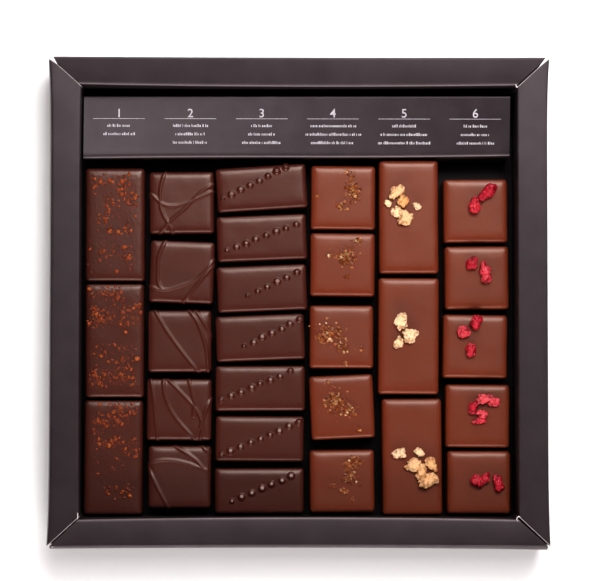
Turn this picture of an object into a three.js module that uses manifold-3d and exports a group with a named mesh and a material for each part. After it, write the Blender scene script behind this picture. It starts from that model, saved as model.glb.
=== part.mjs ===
// An open box of chocolate pralines. Four hollow card walls are folded into wide rails and mitred at the
// corners, a floor panel lies between them, and a card label bar stands along the back. In front of the bar
// six columns of coated chocolates lie on the floor: bars with orange flakes, squares with drawn ridges,
// bars with a row of dots, squares with sugar crystals, bars with chopped nut and squares with dried berry.
// Millimetres, +Z up, +Y towards the label bar. The origin is under the middle of the box.

import * as THREE from 'three';
import { ConvexGeometry } from 'three/addons/geometries/ConvexGeometry.js';
import { mergeVertices } from 'three/addons/utils/BufferGeometryUtils.js';
import Module from 'manifold-3d';

// Card box
const boxWidth = 180.9;
const boxDepth = 177.9;
const boxHeight = 24;
const railWidth = 10.5;
const foldRadius = 0.5;
const foldSteps = 3;
const floorThickness = 1.5;
const cardGap = 0.3;
// How far each mitre stands open, at the inner corner and at the outer one.
const mitreInner = 0.3;
const mitreOuter = { backLeft: 1.2, backRight: 0.9, frontLeft: 0.5, frontRight: 0.6 };

// Label bar
const barWidth = 156.7;
const barDepth = 22.6;
const barTop = 17;
const barX = -0.55;
const barY = 64.4;

// Chocolates: the coat's profile, as height over the foot or under the top, and how far it lies inside
// the foot's outline.
const chocolateHeight = 12.5;
const restGap = 0.05;
const cornerRadius = 1.4;
const cornerSteps = 2;
const footHeight = 0.8;
const footInset = 0.2;
const edgeProfile = [
  { below: 1.4, inset: 0.17 },
  { below: 0.5, inset: 0.56 },
  { below: 0.14, inset: 1.27 },
  { below: 0, inset: 2.5 },
];

// Dots, ridges and toppings
const dotRadius = 1.0;
const dotRise = 0.8;
const ridgeRadius = 0.7;
const ridgeRise = 0.42;
const ridgeSides = 4;
const ridgeStep = 3.5;
const dotTaper = 0.8;
const flakeSize = [0.85, 0.65, 0.45];
const crystalSize = [1.0, 0.85, 0.7];
const crystalTilt = 0.3;
// Grains run from the first scale of a cluster to the last, and their widths vary between two shares.
const grainScale = [1.15, 0.75];
const grainWidth = [0.7, 1.2];
const grainSpacing = 1.7;
const grainAttempts = 12;
// Grains and dots sit a hair over the coat's face, so no edge of theirs lies in it.
const grainLift = 0.07;
const chunkPoints = 16;
const chunkReach = [0.82, 1.12];
const chunkThickness = 0.62;
// A crumb's lobes: how many, their size beside the crumb's width, and how far they stand off its line.
const lobeCount = 3;
const lobeShare = 0.3;
const lobeGrowth = [1.2, 1.4];
const lobeOffset = 0.16;
const sinkShare = 0.25;

const innerWidth = boxWidth - 2 * railWidth;
const innerDepth = boxDepth - 2 * railWidth;

const blackCard = new THREE.MeshStandardMaterial({ color: 0x413a3d, roughness: 0.62, metalness: 0 });
const darkChocolate = new THREE.MeshStandardMaterial({ color: 0x4a2825, roughness: 0.4, metalness: 0 });
const milkChocolate = new THREE.MeshStandardMaterial({ color: 0x7b402c, roughness: 0.4, metalness: 0 });

const wasm = await Module();
wasm.setup();

// A seeded draw between 0 and 1.
function drawer(seed) {
  let state = seed >>> 0;
  return () => {
    state = (Math.imul(state, 1664525) + 1013904223) >>> 0;
    return state / 4294967296;
  };
}

function between(draw, [low, high]) {
  return THREE.MathUtils.lerp(low, high, draw());
}

// A closed geometry as a solid for joining.
function toSolid(geometry) {
  const bare = new THREE.BufferGeometry().setAttribute('position', geometry.getAttribute('position'));
  if (geometry.index) bare.setIndex(geometry.index);
  const merged = mergeVertices(bare, 1e-4);
  return new wasm.Manifold(
    new wasm.Mesh({
      numProp: 3,
      vertProperties: new Float32Array(merged.getAttribute('position').array),
      triVerts: new Uint32Array(merged.index.array),
    }),
  );
}

function toGeometry(solid) {
  const { vertProperties, triVerts } = solid.getMesh();
  const geometry = new THREE.BufferGeometry();
  geometry.setAttribute('position', new THREE.BufferAttribute(vertProperties, 3));
  geometry.setIndex(new THREE.BufferAttribute(triVerts, 1));
  geometry.computeVertexNormals();
  return geometry;
}

// A skin of equal rings, first to last, closed by a fan at each end.
function ringSkin(rings) {
  const count = rings[0].length;
  const centre = (ring) => ring.reduce((sum, p) => sum.add(p), new THREE.Vector3()).divideScalar(count);
  const points = [...rings.flat(), centre(rings[0]), centre(rings.at(-1))];
  const firstHub = rings.length * count;
  const lastRing = (rings.length - 1) * count;
  const faces = [];
  for (let i = 0; i < count; i++) {
    const j = (i + 1) % count;
    for (let r = 0; r + 1 < rings.length; r++) {
      const low = r * count;
      const high = low + count;
      faces.push(low + i, low + j, high + j, low + i, high + j, high + i);
    }
    faces.push(firstHub, j, i, firstHub + 1, lastRing + i, lastRing + j);
  }
  const geometry = new THREE.BufferGeometry().setFromPoints(points);
  geometry.setIndex(faces);
  geometry.computeVertexNormals();
  return geometry;
}

// The outline of a folded wall: square at the foot, rounded along both folds at the top.
function foldedProfile(width, foot, top, radius) {
  const profile = [[0, foot], [width, foot]];
  for (const [across, start] of [[width - radius, 0], [radius, Math.PI / 2]]) {
    for (let i = 0; i <= foldSteps; i++) {
      const angle = start + (i / foldSteps) * (Math.PI / 2);
      profile.push([across + radius * Math.cos(angle), top - radius + radius * Math.sin(angle)]);
    }
  }
  return profile;
}

// One wall of the box, along X, with its inner face at y = 0 and both ends cut on the mitre.
function rail(name, innerLength, openLeft, openRight) {
  const end = (side, open) =>
    foldedProfile(railWidth, 0, boxHeight, foldRadius).map(([across, z]) => {
      const seam = THREE.MathUtils.lerp(mitreInner, open, across / railWidth) / 2;
      return new THREE.Vector3(side * (innerLength / 2 + across - seam), across, z);
    });
  const mesh = new THREE.Mesh(ringSkin([end(-1, openLeft), end(1, openRight)]), blackCard);
  mesh.name = name;
  return mesh;
}

function cardBox() {
  const box = new THREE.Group();
  const { backLeft, backRight, frontLeft, frontRight } = mitreOuter;
  const back = rail('rail_back', innerWidth, backLeft, backRight);
  const front = rail('rail_front', innerWidth, frontRight, frontLeft);
  const left = rail('rail_left', innerDepth, frontLeft, backLeft);
  const right = rail('rail_right', innerDepth, backRight, frontRight);
  back.position.y = innerDepth / 2;
  front.position.y = -innerDepth / 2;
  front.rotation.z = Math.PI;
  left.position.x = -innerWidth / 2;
  left.rotation.z = Math.PI / 2;
  right.position.x = innerWidth / 2;
  right.rotation.z = -Math.PI / 2;

  const floorShape = [innerWidth - 2 * cardGap, innerDepth - 2 * cardGap, floorThickness];
  const floor = new THREE.Mesh(new THREE.BoxGeometry(...floorShape), blackCard);
  floor.name = 'floor_panel';
  floor.position.z = floorThickness / 2;

  const barEnd = (x) =>
    foldedProfile(barDepth, floorThickness + restGap, barTop, foldRadius).map(
      ([across, z]) => new THREE.Vector3(x, across - barDepth / 2, z),
    );
  const bar = new THREE.Mesh(ringSkin([barEnd(-barWidth / 2), barEnd(barWidth / 2)]), blackCard);
  bar.name = 'label_bar';
  bar.position.set(barX, barY, 0);
  return box.add(back, front, left, right, floor, bar);
}

// A rounded rectangle of points, anticlockwise, moved inwards by inset.
function outline(width, length, inset, z) {
  const points = [];
  for (let corner = 0; corner < 4; corner++) {
    const sideX = corner === 0 || corner === 3 ? 1 : -1;
    const sideY = corner < 2 ? 1 : -1;
    for (let i = 0; i <= cornerSteps; i++) {
      const angle = (corner + i / cornerSteps) * (Math.PI / 2);
      const x = sideX * (width / 2 - inset - cornerRadius) + cornerRadius * Math.cos(angle);
      const y = sideY * (length / 2 - inset - cornerRadius) + cornerRadius * Math.sin(angle);
      points.push(new THREE.Vector3(x, y, z));
    }
  }
  return points;
}

// The coated centre: a foot that tucks in a little, walls with some draft and a soft rounded top edge.
function coatedCentre(width, length) {
  const rings = [outline(width, length, footInset, 0), outline(width, length, 0, footHeight)];
  for (const { below, inset } of edgeProfile) {
    rings.push(outline(width, length, inset, chocolateHeight - below));
  }
  return ringSkin(rings);
}

// Height of the coat over a point, from how far the point lies inside the foot's outline.
function coatHeight([width, length], x, y) {
  const inside = Math.min(width / 2 - Math.abs(x), length / 2 - Math.abs(y));
  for (let i = edgeProfile.length - 1; i > 0; i--) {
    const outer = edgeProfile[i - 1];
    const inner = edgeProfile[i];
    if (inside >= outer.inset) {
      const share = Math.min(1, (inside - outer.inset) / (inner.inset - outer.inset));
      return chocolateHeight - outer.below + share * (outer.below - inner.below);
    }
  }
  return chocolateHeight - edgeProfile[0].below;
}

// A raised ridge along a curve over the top, drawn down over the edges where it reaches them.
function ridge(size, points) {
  const drawn = points.map(
    ([x, y]) => new THREE.Vector3(x, y, coatHeight(size, x, y) + ridgeRise - ridgeRadius),
  );
  const section = new THREE.Shape();
  for (let i = 0; i < ridgeSides; i++) {
    const angle = (i / ridgeSides) * 2 * Math.PI;
    const [across, up] = [ridgeRadius * Math.cos(angle), ridgeRadius * Math.sin(angle)];
    if (i === 0) section.moveTo(across, up);
    else section.lineTo(across, up);
  }
  const extrudePath = new THREE.CatmullRomCurve3(drawn);
  const steps = Math.max(2, Math.round(extrudePath.getLength() / ridgeStep));
  return new THREE.ExtrudeGeometry(section, { steps, extrudePath, curveSegments: 1 });
}

// Equal dots on a straight row, a little smaller towards its start.
function dotRow({ from, to, count }) {
  const dots = [];
  for (let i = 0; i < count; i++) {
    const share = i / (count - 1);
    const size = dotRadius * THREE.MathUtils.lerp(dotTaper, 1, Math.min(1, 2 * share));
    const dot = new THREE.IcosahedronGeometry(size, 0);
    dot.scale(1, 1, dotRise / dotRadius);
    const x = THREE.MathUtils.lerp(from[0], to[0], share);
    const y = THREE.MathUtils.lerp(from[1], to[1], share);
    dot.translate(x, y, chocolateHeight + grainLift);
    dots.push(dot);
  }
  return dots;
}

// Grains scattered round the middles of some clusters, with the larger ones first. A spot too near an
// earlier grain is drawn again, and left out when no clear one is found.
function scatter(clusters, size, seed, makeGrain) {
  const draw = drawer(seed);
  const grains = [];
  const taken = [];
  for (const { at, spread, count } of clusters) {
    for (let i = 0; i < count; i++) {
      const scale = THREE.MathUtils.lerp(...grainScale, i / count);
      for (let attempt = 0; attempt < grainAttempts; attempt++) {
        const angle = 2 * Math.PI * draw();
        const reach = Math.sqrt((i + draw()) / count);
        const spot = new THREE.Vector2(Math.cos(angle), Math.sin(angle)).multiplyScalar(reach);
        spot.set(at[0] + spread[0] * spot.x, at[1] + spread[1] * spot.y);
        if (taken.every((other) => other.distanceTo(spot) > grainSpacing)) {
          const grain = makeGrain(draw, scale).rotateZ(2 * Math.PI * draw());
          grains.push(grain.translate(spot.x, spot.y, coatHeight(size, spot.x, spot.y) + grainLift));
          taken.push(spot);
          break;
        }
      }
    }
  }
  return grains;
}

function flake(draw, scale) {
  const [long, wide, thick] = flakeSize;
  const width = wide * scale * between(draw, grainWidth);
  return new THREE.OctahedronGeometry(1).scale(long * scale, width, thick);
}

function crystal(draw, scale) {
  const [long, wide, thick] = crystalSize.map((side) => side * scale);
  const width = wide * between(draw, grainWidth);
  return new THREE.BoxGeometry(long, width, thick).rotateX(between(draw, [-crystalTilt, crystalTilt]));
}

// A broken piece of nut: the hull of points on an uneven egg, sunk a little into the coat.
function nutChunk({ at, size, turn }, draw) {
  const points = [];
  for (let i = 0; i < chunkPoints; i++) {
    const up = 1 - (2 * i + 1) / chunkPoints;
    const round = Math.sqrt(1 - up * up);
    const angle = i * Math.PI * (3 - Math.sqrt(5));
    const point = new THREE.Vector3(Math.cos(angle) * round, Math.sin(angle) * round, up);
    points.push(point.multiplyScalar(between(draw, chunkReach)));
  }
  const thick = Math.min(...size) * chunkThickness;
  const chunk = new ConvexGeometry(points).scale(size[0] / 2, size[1] / 2, thick / 2);
  chunk.rotateZ(THREE.MathUtils.degToRad(turn));
  return [chunk.translate(at[0], at[1], chocolateHeight + thick * (0.5 - sinkShare))];
}

// A crumb of dried berry: a few round lobes in a bent row.
function berryCrumb({ at, size, turn }, draw) {
  const lobes = [];
  const [long, wide] = size;
  const radius = wide * lobeShare;
  for (let i = 0; i < lobeCount; i++) {
    const along = (i / (lobeCount - 1) - 0.5) * (long - 2 * radius);
    const aside = (i % 2 ? 1 : -1) * wide * lobeOffset;
    const lobe = new THREE.IcosahedronGeometry(radius * between(draw, lobeGrowth), 0);
    lobe.translate(along, aside, 0).rotateZ(THREE.MathUtils.degToRad(turn));
    lobes.push(lobe.translate(at[0], at[1], chocolateHeight + radius * (1 - 2 * sinkShare)));
  }
  return lobes;
}

// The six columns, from the left, each listed from the label bar towards the front. A piece has its middle
// on the floor, its width and length, a small turn in degrees, and what lies on it, from its own middle.
const columns = [
  {
    name: 'flake_bar',
    material: darkChocolate,
    pieces: [
      {
        at: [-67.5, 28.5], size: [22, 42], turn: 0.1,
        top: [
          { at: [-1, 15.6], spread: [7, 2.5], count: 8 },
          { at: [2.5, 9.5], spread: [6, 3], count: 8 },
          { at: [-4, 4.5], spread: [3, 4], count: 3 },
          { at: [1.5, -2.6], spread: [4.5, 1.2], count: 5 },
          { at: [1, -10], spread: [7, 2.5], count: 5 },
        ],
      },
      {
        at: [-67.5, -14.2], size: [21.7, 42.1], turn: 0.2,
        top: [
          { at: [-4, 17.5], spread: [5, 2], count: 6 },
          { at: [1.5, 16], spread: [2, 1.5], count: 3 },
          { at: [-4.5, 8.5], spread: [5, 3.5], count: 10 },
          { at: [5.5, 9], spread: [4, 4], count: 9 },
          { at: [0, -5], spread: [8.5, 3], count: 6 },
          { at: [-4, -13], spread: [4.5, 3], count: 8 },
          { at: [4, -13], spread: [4, 3], count: 6 },
        ],
      },
      {
        at: [-67.8, -57], size: [21.6, 42], turn: -0.3,
        top: [
          { at: [3, 18], spread: [5.5, 2], count: 7 },
          { at: [0, 13.5], spread: [7, 3], count: 10 },
          { at: [-1.5, 5.5], spread: [3.5, 1.5], count: 5 },
          { at: [6, 3.5], spread: [3, 3], count: 5 },
          { at: [2, -12.5], spread: [5.5, 2.5], count: 5 },
        ],
      },
    ],
    relief: (clusters, size, seed) => scatter(clusters, size, seed, flake),
  },
  {
    name: 'ridged_square',
    material: darkChocolate,
    pieces: [
      {
        at: [-43, 36.7], size: [24, 23.1], turn: 0.6,
        top: [
          [[-11.3, 3.1], [-6.8, -0.6], [-2.6, -1.3], [2, -0.2], [6.2, 1.7], [11.3, 3.8]],
          [[-5.8, 11], [-7.5, 6.5], [-7.9, 0.6], [-7.1, -3.6], [-4.7, -8.2], [-3.5, -11]],
          [[11.3, 6.3], [7, 3.6], [1.1, -2.3], [-2.6, -5.3], [-5.8, -8.6], [-7.7, -11]],
        ],
      },
      {
        at: [-42.9, 11.1], size: [23.8, 23.1], turn: -2,
        top: [
          [[-6.1, 11], [-8.6, 5.5], [-8.4, -4.2], [-6, -6.9], [1.3, -4.6], [5.5, -2.5], [11.3, 4.6]],
          [[-11.3, -5.9], [-9, -6.6], [-6, -6.9]],
          [[11.3, 2.5], [8, -1.7], [4.2, -6.7], [0.8, -11]],
        ],
      },
      {
        at: [-43.6, -14.4], size: [23.5, 23], turn: 0.2,
        top: [
          [[-8.8, 11], [-5.1, 4.5], [-0.3, -2.3], [4.4, -8.4], [6.8, -11]],
          [[3.4, 11], [6.4, 7.2], [8.5, 1.8], [10, -4.3], [10.4, -11]],
          [[6.1, 11], [9.1, 6.5], [11.3, 2.4]],
        ],
      },
      {
        at: [-43.7, -39.5], size: [24, 22.7], turn: -0.3,
        top: [
          [[-10.4, 11], [-9.3, 3.8], [-8.6, -3.7], [-7.8, -11]],
          [[-5.8, 11], [-5.4, 5.8], [-3, -0.3], [1, -5.7], [6.1, -11]],
          [[-4.4, 11], [-1, 7.9], [3, 3.8], [6.4, -0.3], [8.5, -5.7], [7.8, -11]],
          [[3.4, 11], [4.5, 7.2], [5.4, 2.4], [5.2, -2.3]],
          [[11.3, 3.5], [9.5, -0.9], [7.8, -6.4]],
        ],
      },
      {
        at: [-43.5, -64.1], size: [23.2, 23], turn: -0.2,
        top: [
          [[-11.3, 4.9], [-7, 6], [-2.3, 6], [2.4, 5.1], [6.5, 3.7], [9.5, 2.6]],
          [[-2, 11], [2.4, 8.7], [5.8, 6.3], [8.5, 3.2]],
          [[8.2, 11], [9.8, 9.8], [11.3, 9]],
          [[-11.3, 3.9], [-9.4, -1.2], [-7, -5.9], [-4, -11]],
        ],
      },
    ],
    relief: (curves, size) => curves.map((points) => ridge(size, points)),
  },
  {
    name: 'dotted_bar',
    material: darkChocolate,
    pieces: [
      {
        at: [-13.6, 42.1], size: [33.5, 16.6], turn: 3.8,
        top: { from: [-14.4, -3.1], to: [9.4, 7.1], count: 8 },
      },
      {
        at: [-13.5, 23.7], size: [33.3, 17.1], turn: 2.4,
        top: { from: [-13, -4.3], to: [12.8, 4.4], count: 8 },
      },
      {
        at: [-13.4, 5.1], size: [33.3, 17.2], turn: 2.4,
        top: { from: [-5.5, -2.8], to: [12.9, 5.3], count: 6 },
      },
      {
        at: [-14, -13.1], size: [32.9, 17.1], turn: 2.3,
        top: { from: [-5.9, -3.2], to: [14.5, 6.1], count: 7 },
      },
      {
        at: [-14, -31.7], size: [33.2, 16.9], turn: 0.3,
        top: { from: [-14.3, -4.2], to: [11, 6.1], count: 8 },
      },
      {
        at: [-14.2, -50.2], size: [32.7, 16.9], turn: -0.3,
        top: { from: [-14, -6], to: [14.4, 6.1], count: 9 },
      },
      {
        at: [-14.3, -69.2], size: [32.9, 16.7], turn: 0.2,
        top: { from: [-10, -3.8], to: [11.7, 5.2], count: 7 },
      },
    ],
    relief: (row) => dotRow(row),
  },
  {
    name: 'crystal_square',
    material: milkChocolate,
    pieces: [
      {
        at: [16.5, 38.6], size: [24.1, 23.9], turn: -0.5,
        top: [
          { at: [3.5, 3.2], spread: [2, 3.6], count: 9 },
          { at: [-0.6, -3], spread: [2, 2], count: 4 },
          { at: [1, 9], spread: [2.5, 1], count: 2 },
        ],
      },
      {
        at: [16.3, 13.9], size: [24.1, 23.5], turn: -0.5,
        top: [
          { at: [1.2, 2.6], spread: [4, 3], count: 11 },
          { at: [5.6, 8.4], spread: [2, 1.6], count: 3 },
          { at: [2, -4.6], spread: [0.8, 1.2], count: 2 },
        ],
      },
      {
        at: [15.9, -12.7], size: [23.7, 23.4], turn: -0.1,
        top: [
          { at: [-4.3, 0.9], spread: [4, 3.4], count: 11 },
          { at: [0.8, -3.9], spread: [2.8, 2.2], count: 5 },
        ],
      },
      {
        at: [16.1, -38.5], size: [23.7, 23.6], turn: 2.6,
        top: [
          { at: [-2.5, 1.8], spread: [3, 3.8], count: 10 },
          { at: [1.8, -0.8], spread: [2.4, 1.8], count: 4 },
        ],
      },
      {
        at: [16.1, -65.7], size: [24, 23], turn: 0.6,
        top: [
          { at: [3.6, 6.6], spread: [2.8, 2.2], count: 8 },
          { at: [2.8, 1.6], spread: [2.4, 2.6], count: 5 },
          { at: [0.6, -3.8], spread: [2.2, 1.2], count: 3 },
        ],
      },
    ],
    relief: (clusters, size, seed) => scatter(clusters, size, seed, crystal),
  },
  {
    name: 'nut_bar',
    material: milkChocolate,
    pieces: [
      {
        at: [40.7, 31.5], size: [22.2, 42.1], turn: 0.2,
        top: [
          { at: [-4.1, 9.1], size: [6.5, 4.2], turn: 25 },
          { at: [-2.1, 5.5], size: [5.3, 4.4], turn: 30 },
          { at: [-7.8, 4.9], size: [3.2, 2.2], turn: -50 },
          { at: [-4.4, 1.6], size: [4.3, 3.8], turn: 10 },
          { at: [-1.4, -0.8], size: [5.8, 4.9], turn: -45 },
          { at: [3.2, 4.1], size: [3.2, 2.5], turn: -50 },
        ],
      },
      {
        at: [40.6, -12.4], size: [22.6, 43.1], turn: -0.3,
        top: [
          { at: [-2.9, 5.4], size: [5.6, 4.9], turn: 60 },
          { at: [0.5, 0.2], size: [5.5, 5], turn: 20 },
          { at: [-3.7, -2.6], size: [4.4, 3.4], turn: 50 },
        ],
      },
      {
        at: [41.8, -56.7], size: [22.2, 42.8], turn: 0.4,
        top: [
          { at: [-4.8, 1.2], size: [4.6, 3.8], turn: 40 },
          { at: [2.6, 1.4], size: [3.8, 2.9], turn: -60 },
          { at: [0.7, -3], size: [6.3, 5], turn: 50 },
          { at: [3.4, -5.9], size: [5.4, 3.6], turn: 70 },
          { at: [7, -2.9], size: [5.4, 3.8], turn: -60 },
          { at: [6.1, -8.3], size: [7, 5.4], turn: 40 },
        ],
      },
    ],
    relief: (chunks, size, seed) => {
      const draw = drawer(seed);
      return chunks.flatMap((chunk) => nutChunk(chunk, draw));
    },
  },
  {
    name: 'berry_square',
    material: milkChocolate,
    pieces: [
      {
        at: [65.4, 33.8], size: [23.9, 23.7], turn: 0.4,
        top: [
          { at: [4.4, 6.6], size: [6.9, 4.6], turn: 28 },
          { at: [-0.3, 1.7], size: [6.2, 4], turn: 105 },
        ],
      },
      {
        at: [65.8, 9.1], size: [23.9, 23.5], turn: 0.5,
        top: [
          { at: [-2.2, 4.9], size: [5.4, 3.4], turn: 65 },
          { at: [2.9, 1.8], size: [8, 4], turn: 110 },
        ],
      },
      {
        at: [65.1, -16.2], size: [24, 23.6], turn: -0.8,
        top: [
          { at: [0, 8.8], size: [4.7, 3.8], turn: 75 },
          { at: [-4.7, 4.8], size: [4.9, 4], turn: 30 },
          { at: [-1.6, -1.5], size: [4.6, 3.8], turn: 120 },
        ],
      },
      {
        at: [65.9, -41.8], size: [23.9, 23.4], turn: -0.4,
        top: [
          { at: [1.9, 6.2], size: [5.4, 3.6], turn: 20 },
          { at: [5.8, 5.3], size: [4.7, 3.4], turn: -35 },
          { at: [-1.9, 3.2], size: [4.2, 3.2], turn: 50 },
          { at: [1.8, 0.9], size: [4.9, 2.8], turn: 5 },
          { at: [0.9, -1.6], size: [5.4, 2.2], turn: 0 },
        ],
      },
      {
        at: [66.3, -66.1], size: [23.6, 23.2], turn: -0.1,
        top: [
          { at: [-0.9, 0.7], size: [5.8, 3.6], turn: 105 },
          { at: [2.1, 1.6], size: [4, 3], turn: 60 },
          { at: [7, -0.4], size: [6.2, 3.4], turn: 100 },
        ],
      },
    ],
    relief: (crumbs, size, seed) => {
      const draw = drawer(seed);
      return crumbs.flatMap((crumb) => berryCrumb(crumb, draw));
    },
  },
];

// One chocolate with its relief and toppings joined to it.
function chocolate({ name, material, relief }, { at, size, turn, top }, seed, index) {
  const parts = [coatedCentre(...size), ...relief(top, size, seed)].map(toSolid);
  // The outer skin is kept, so a hollow sealed between two grains is filled.
  const skins = parts.reduce((whole, part) => whole.add(part)).decompose();
  const outer = skins.reduce((best, skin) => (skin.volume() > best.volume() ? skin : best));
  const mesh = new THREE.Mesh(toGeometry(outer), material);
  mesh.name = `${name}_${index + 1}`;
  mesh.position.set(...at, floorThickness + restGap);
  mesh.rotation.z = THREE.MathUtils.degToRad(turn);
  return mesh;
}

function column(spec, place) {
  const group = new THREE.Group();
  spec.pieces.forEach((piece, index) => {
    group.add(chocolate(spec, piece, 100 * (place + 1) + index, index));
  });
  return group;
}

const pralineBox = new THREE.Group();
pralineBox.add(cardBox(), ...columns.map(column));

export default pralineBox;
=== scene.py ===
# An open card box of chocolate pralines, seen from above on a white table. The card rails, the label bar
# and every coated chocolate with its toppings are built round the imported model. Sizes are in millimetres
# until a mesh is made, +Y is towards the label bar and +Z is up.

import math

import bpy
import numpy as np
from bpy.props import FloatProperty, FloatVectorProperty, IntProperty, PointerProperty, StringProperty
from mathutils import Euler, Matrix, Vector


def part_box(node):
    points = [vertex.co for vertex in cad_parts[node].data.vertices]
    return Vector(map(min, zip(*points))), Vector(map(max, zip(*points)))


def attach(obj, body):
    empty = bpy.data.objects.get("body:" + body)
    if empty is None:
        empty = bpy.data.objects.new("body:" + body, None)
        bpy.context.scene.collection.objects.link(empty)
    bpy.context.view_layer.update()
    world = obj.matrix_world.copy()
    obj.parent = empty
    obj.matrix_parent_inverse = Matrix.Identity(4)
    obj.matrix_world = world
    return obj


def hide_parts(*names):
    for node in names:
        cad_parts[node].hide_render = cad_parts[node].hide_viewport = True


bl_info = {
    "name": "Box of pralines",
    "version": (1, 0, 0),
    "blender": (4, 5, 0),
    "location": "3D View > Sidebar > Pralines",
    "description": "Builds an open card box of coated chocolates round its packed model",
    "category": "Object",
}

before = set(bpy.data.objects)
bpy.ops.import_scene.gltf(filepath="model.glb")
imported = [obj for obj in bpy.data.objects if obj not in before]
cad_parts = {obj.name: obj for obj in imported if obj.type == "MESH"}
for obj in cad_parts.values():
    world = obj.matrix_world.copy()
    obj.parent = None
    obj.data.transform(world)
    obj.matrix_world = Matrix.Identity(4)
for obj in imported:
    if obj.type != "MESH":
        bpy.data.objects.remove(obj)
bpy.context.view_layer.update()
BODY = "root"
MM = 0.001


def node_box(name):
    """The lowest and highest corner of a node of the model, in millimetres."""
    low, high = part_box(name)
    return np.array(low) / MM, np.array(high) / MM


# The photograph's camera, from a fit to the rim's eight corners.
FRAME_WIDTH_PX = 600
FOCAL_PX = 2478.0
SENSOR_MM = 36.0
CAMERA_PLACE = (-13.28, -39.64, 924.0)
CAMERA_TILT_DEG = (2.762, -0.875, 0.025)

# The card box
FLOOR_TOP = node_box("floor_panel")[1][2]
RIM = node_box("rail_left")[1][2]
INNER_X = node_box("rail_right")[0][0]
OUTER_X = node_box("rail_right")[1][0]
INNER_Y = node_box("rail_back")[0][1]
OUTER_Y = node_box("rail_back")[1][1]
RAIL_WIDTH = OUTER_X - INNER_X
# Each corner's seam, in millimetres: its width at the inner end, how much wider it is at the outer end, and
# the notch that opens there.
SEAMS = {
    "back_left": (0.15, -0.3, 1.75), "back_right": (0.15, -0.9, 0.95),
    "front_left": (0.35, -0.1, 0.35), "front_right": (0.35, -0.6, 0.3),
}

# The chocolates: the coat's height, and the profile of its edge and foot.
COAT_HEIGHT = 12.5
CORNER_RADIUS = 1.3
EDGE_WIDTH = 2.6
EDGE_FADE = 0.68
WALL_INSET = 0.12
FOOT_HEIGHT = 0.8
FOOT_INSET = 0.2
EDGE_RINGS = 16
WALL_RINGS = 5
FOOT_RINGS = 4


def linear(colour):
    """A hex colour such as "#a1b2c3", as linear RGBA: the sRGB curve is undone for each channel."""
    channels = np.array([int(colour[i:i + 2], 16) for i in (1, 3, 5)]) / 255
    curve = np.where(channels <= 0.04045, channels / 12.92, ((channels + 0.055) / 1.055) ** 2.4)
    return (*curve.tolist(), 1.0)


def add_node(tree, kind, settings, links=()):
    """Adds a node, sets its properties and sockets, and links (socket, other node's output) pairs to it."""
    new = tree.nodes.new(kind)
    for name, value in settings.items():
        if isinstance(name, str) and name in new.bl_rna.properties:
            setattr(new, name, value)
        else:
            new.inputs[name].default_value = value
    for socket, source in links:
        tree.links.new(new.inputs[socket], source)
    return new


def new_material(name):
    material = bpy.data.materials.new(name)
    material.use_nodes = True
    material.node_tree.nodes.clear()
    return material, material.node_tree


def finish_material(material, shader):
    tree = material.node_tree
    add_node(tree, "ShaderNodeOutputMaterial", {}, [("Surface", shader.outputs[0])])
    return material


def ramp(tree, factor, stops):
    """A colour ramp through (place, hex colour) stops."""
    new = add_node(tree, "ShaderNodeValToRGB", {}, [("Fac", factor)])
    elements = new.color_ramp.elements
    while len(elements) < len(stops):
        elements.new(0.5)
    for element, (place, colour) in zip(elements, stops):
        element.position = place
        element.color = linear(colour)
    return new.outputs["Color"]


def noise(tree, size_mm, detail=3.0, roughness=0.5, vector=None):
    """Noise whose blotches are about size_mm across, on object coordinates."""
    place = vector or add_node(tree, "ShaderNodeTexCoord", {}).outputs["Object"]
    settings = {"Scale": 1 / (size_mm * MM), "Detail": detail, "Roughness": roughness}
    return add_node(tree, "ShaderNodeTexNoise", settings, [("Vector", place)]).outputs["Fac"]


def scaled(tree, value, low, high):
    """A 0 to 1 value moved into low to high."""
    settings = {"To Min": low, "To Max": high}
    return add_node(tree, "ShaderNodeMapRange", settings, [("Value", value)]).outputs["Result"]


def mix(tree, factor, first, second):
    """Two colours mixed by a factor."""
    links = [(0, factor), (6, first), (7, second)]
    return add_node(tree, "ShaderNodeMix", {"data_type": "RGBA"}, links).outputs[2]


def bump(tree, height, distance_mm, strength=1.0):
    """A bump of a height field, distance_mm deep."""
    settings = {"Distance": distance_mm * MM, "Strength": strength}
    return add_node(tree, "ShaderNodeBump", settings, [("Height", height)]).outputs["Normal"]


def black_card(name, colour, fold_wear_and_highlight_colour, gloss=0.85):
    """Paper-coated board dyed black: a matt, slightly fibrous face. Along its folds it is painted paler, partly
    as wear of the stretched card and partly as a painted highlight where the fold catches the light. The fold attribute
    says where that is."""
    material, tree = new_material(name)
    fold = add_node(tree, "ShaderNodeAttribute", {"attribute_name": "fold"}).outputs["Fac"]
    mottle = noise(tree, 9.0, detail=4.0)
    fibre = noise(tree, 0.7, detail=5.0, roughness=0.7)
    face = mix(tree, scaled(tree, mottle, 0.0, 0.14), linear_value(tree, colour), linear_value(tree, fold_wear_and_highlight_colour))
    # Painted paler along the folds: partly wear of the card, partly a painted highlight where the fold catches the
    # light.
    wear_and_highlight = mix(tree, fold, face, linear_value(tree, fold_wear_and_highlight_colour))
    shader = add_node(
        tree,
        "ShaderNodeBsdfPrincipled",
        {"IOR": 1.46, "Specular IOR Level": gloss, "Specular Tint": linear("#fff0f7")},
        [
            ("Base Color", wear_and_highlight),
            ("Roughness", scaled(tree, fibre, 0.38, 0.47)),
            ("Normal", bump(tree, fibre, 0.02, 0.5)),
        ],
    )
    return finish_material(material, shader)


def linear_value(tree, colour):
    """A colour node's output."""
    new = add_node(tree, "ShaderNodeRGB", {})
    new.outputs[0].default_value = linear(colour)
    return new.outputs[0]


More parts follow.
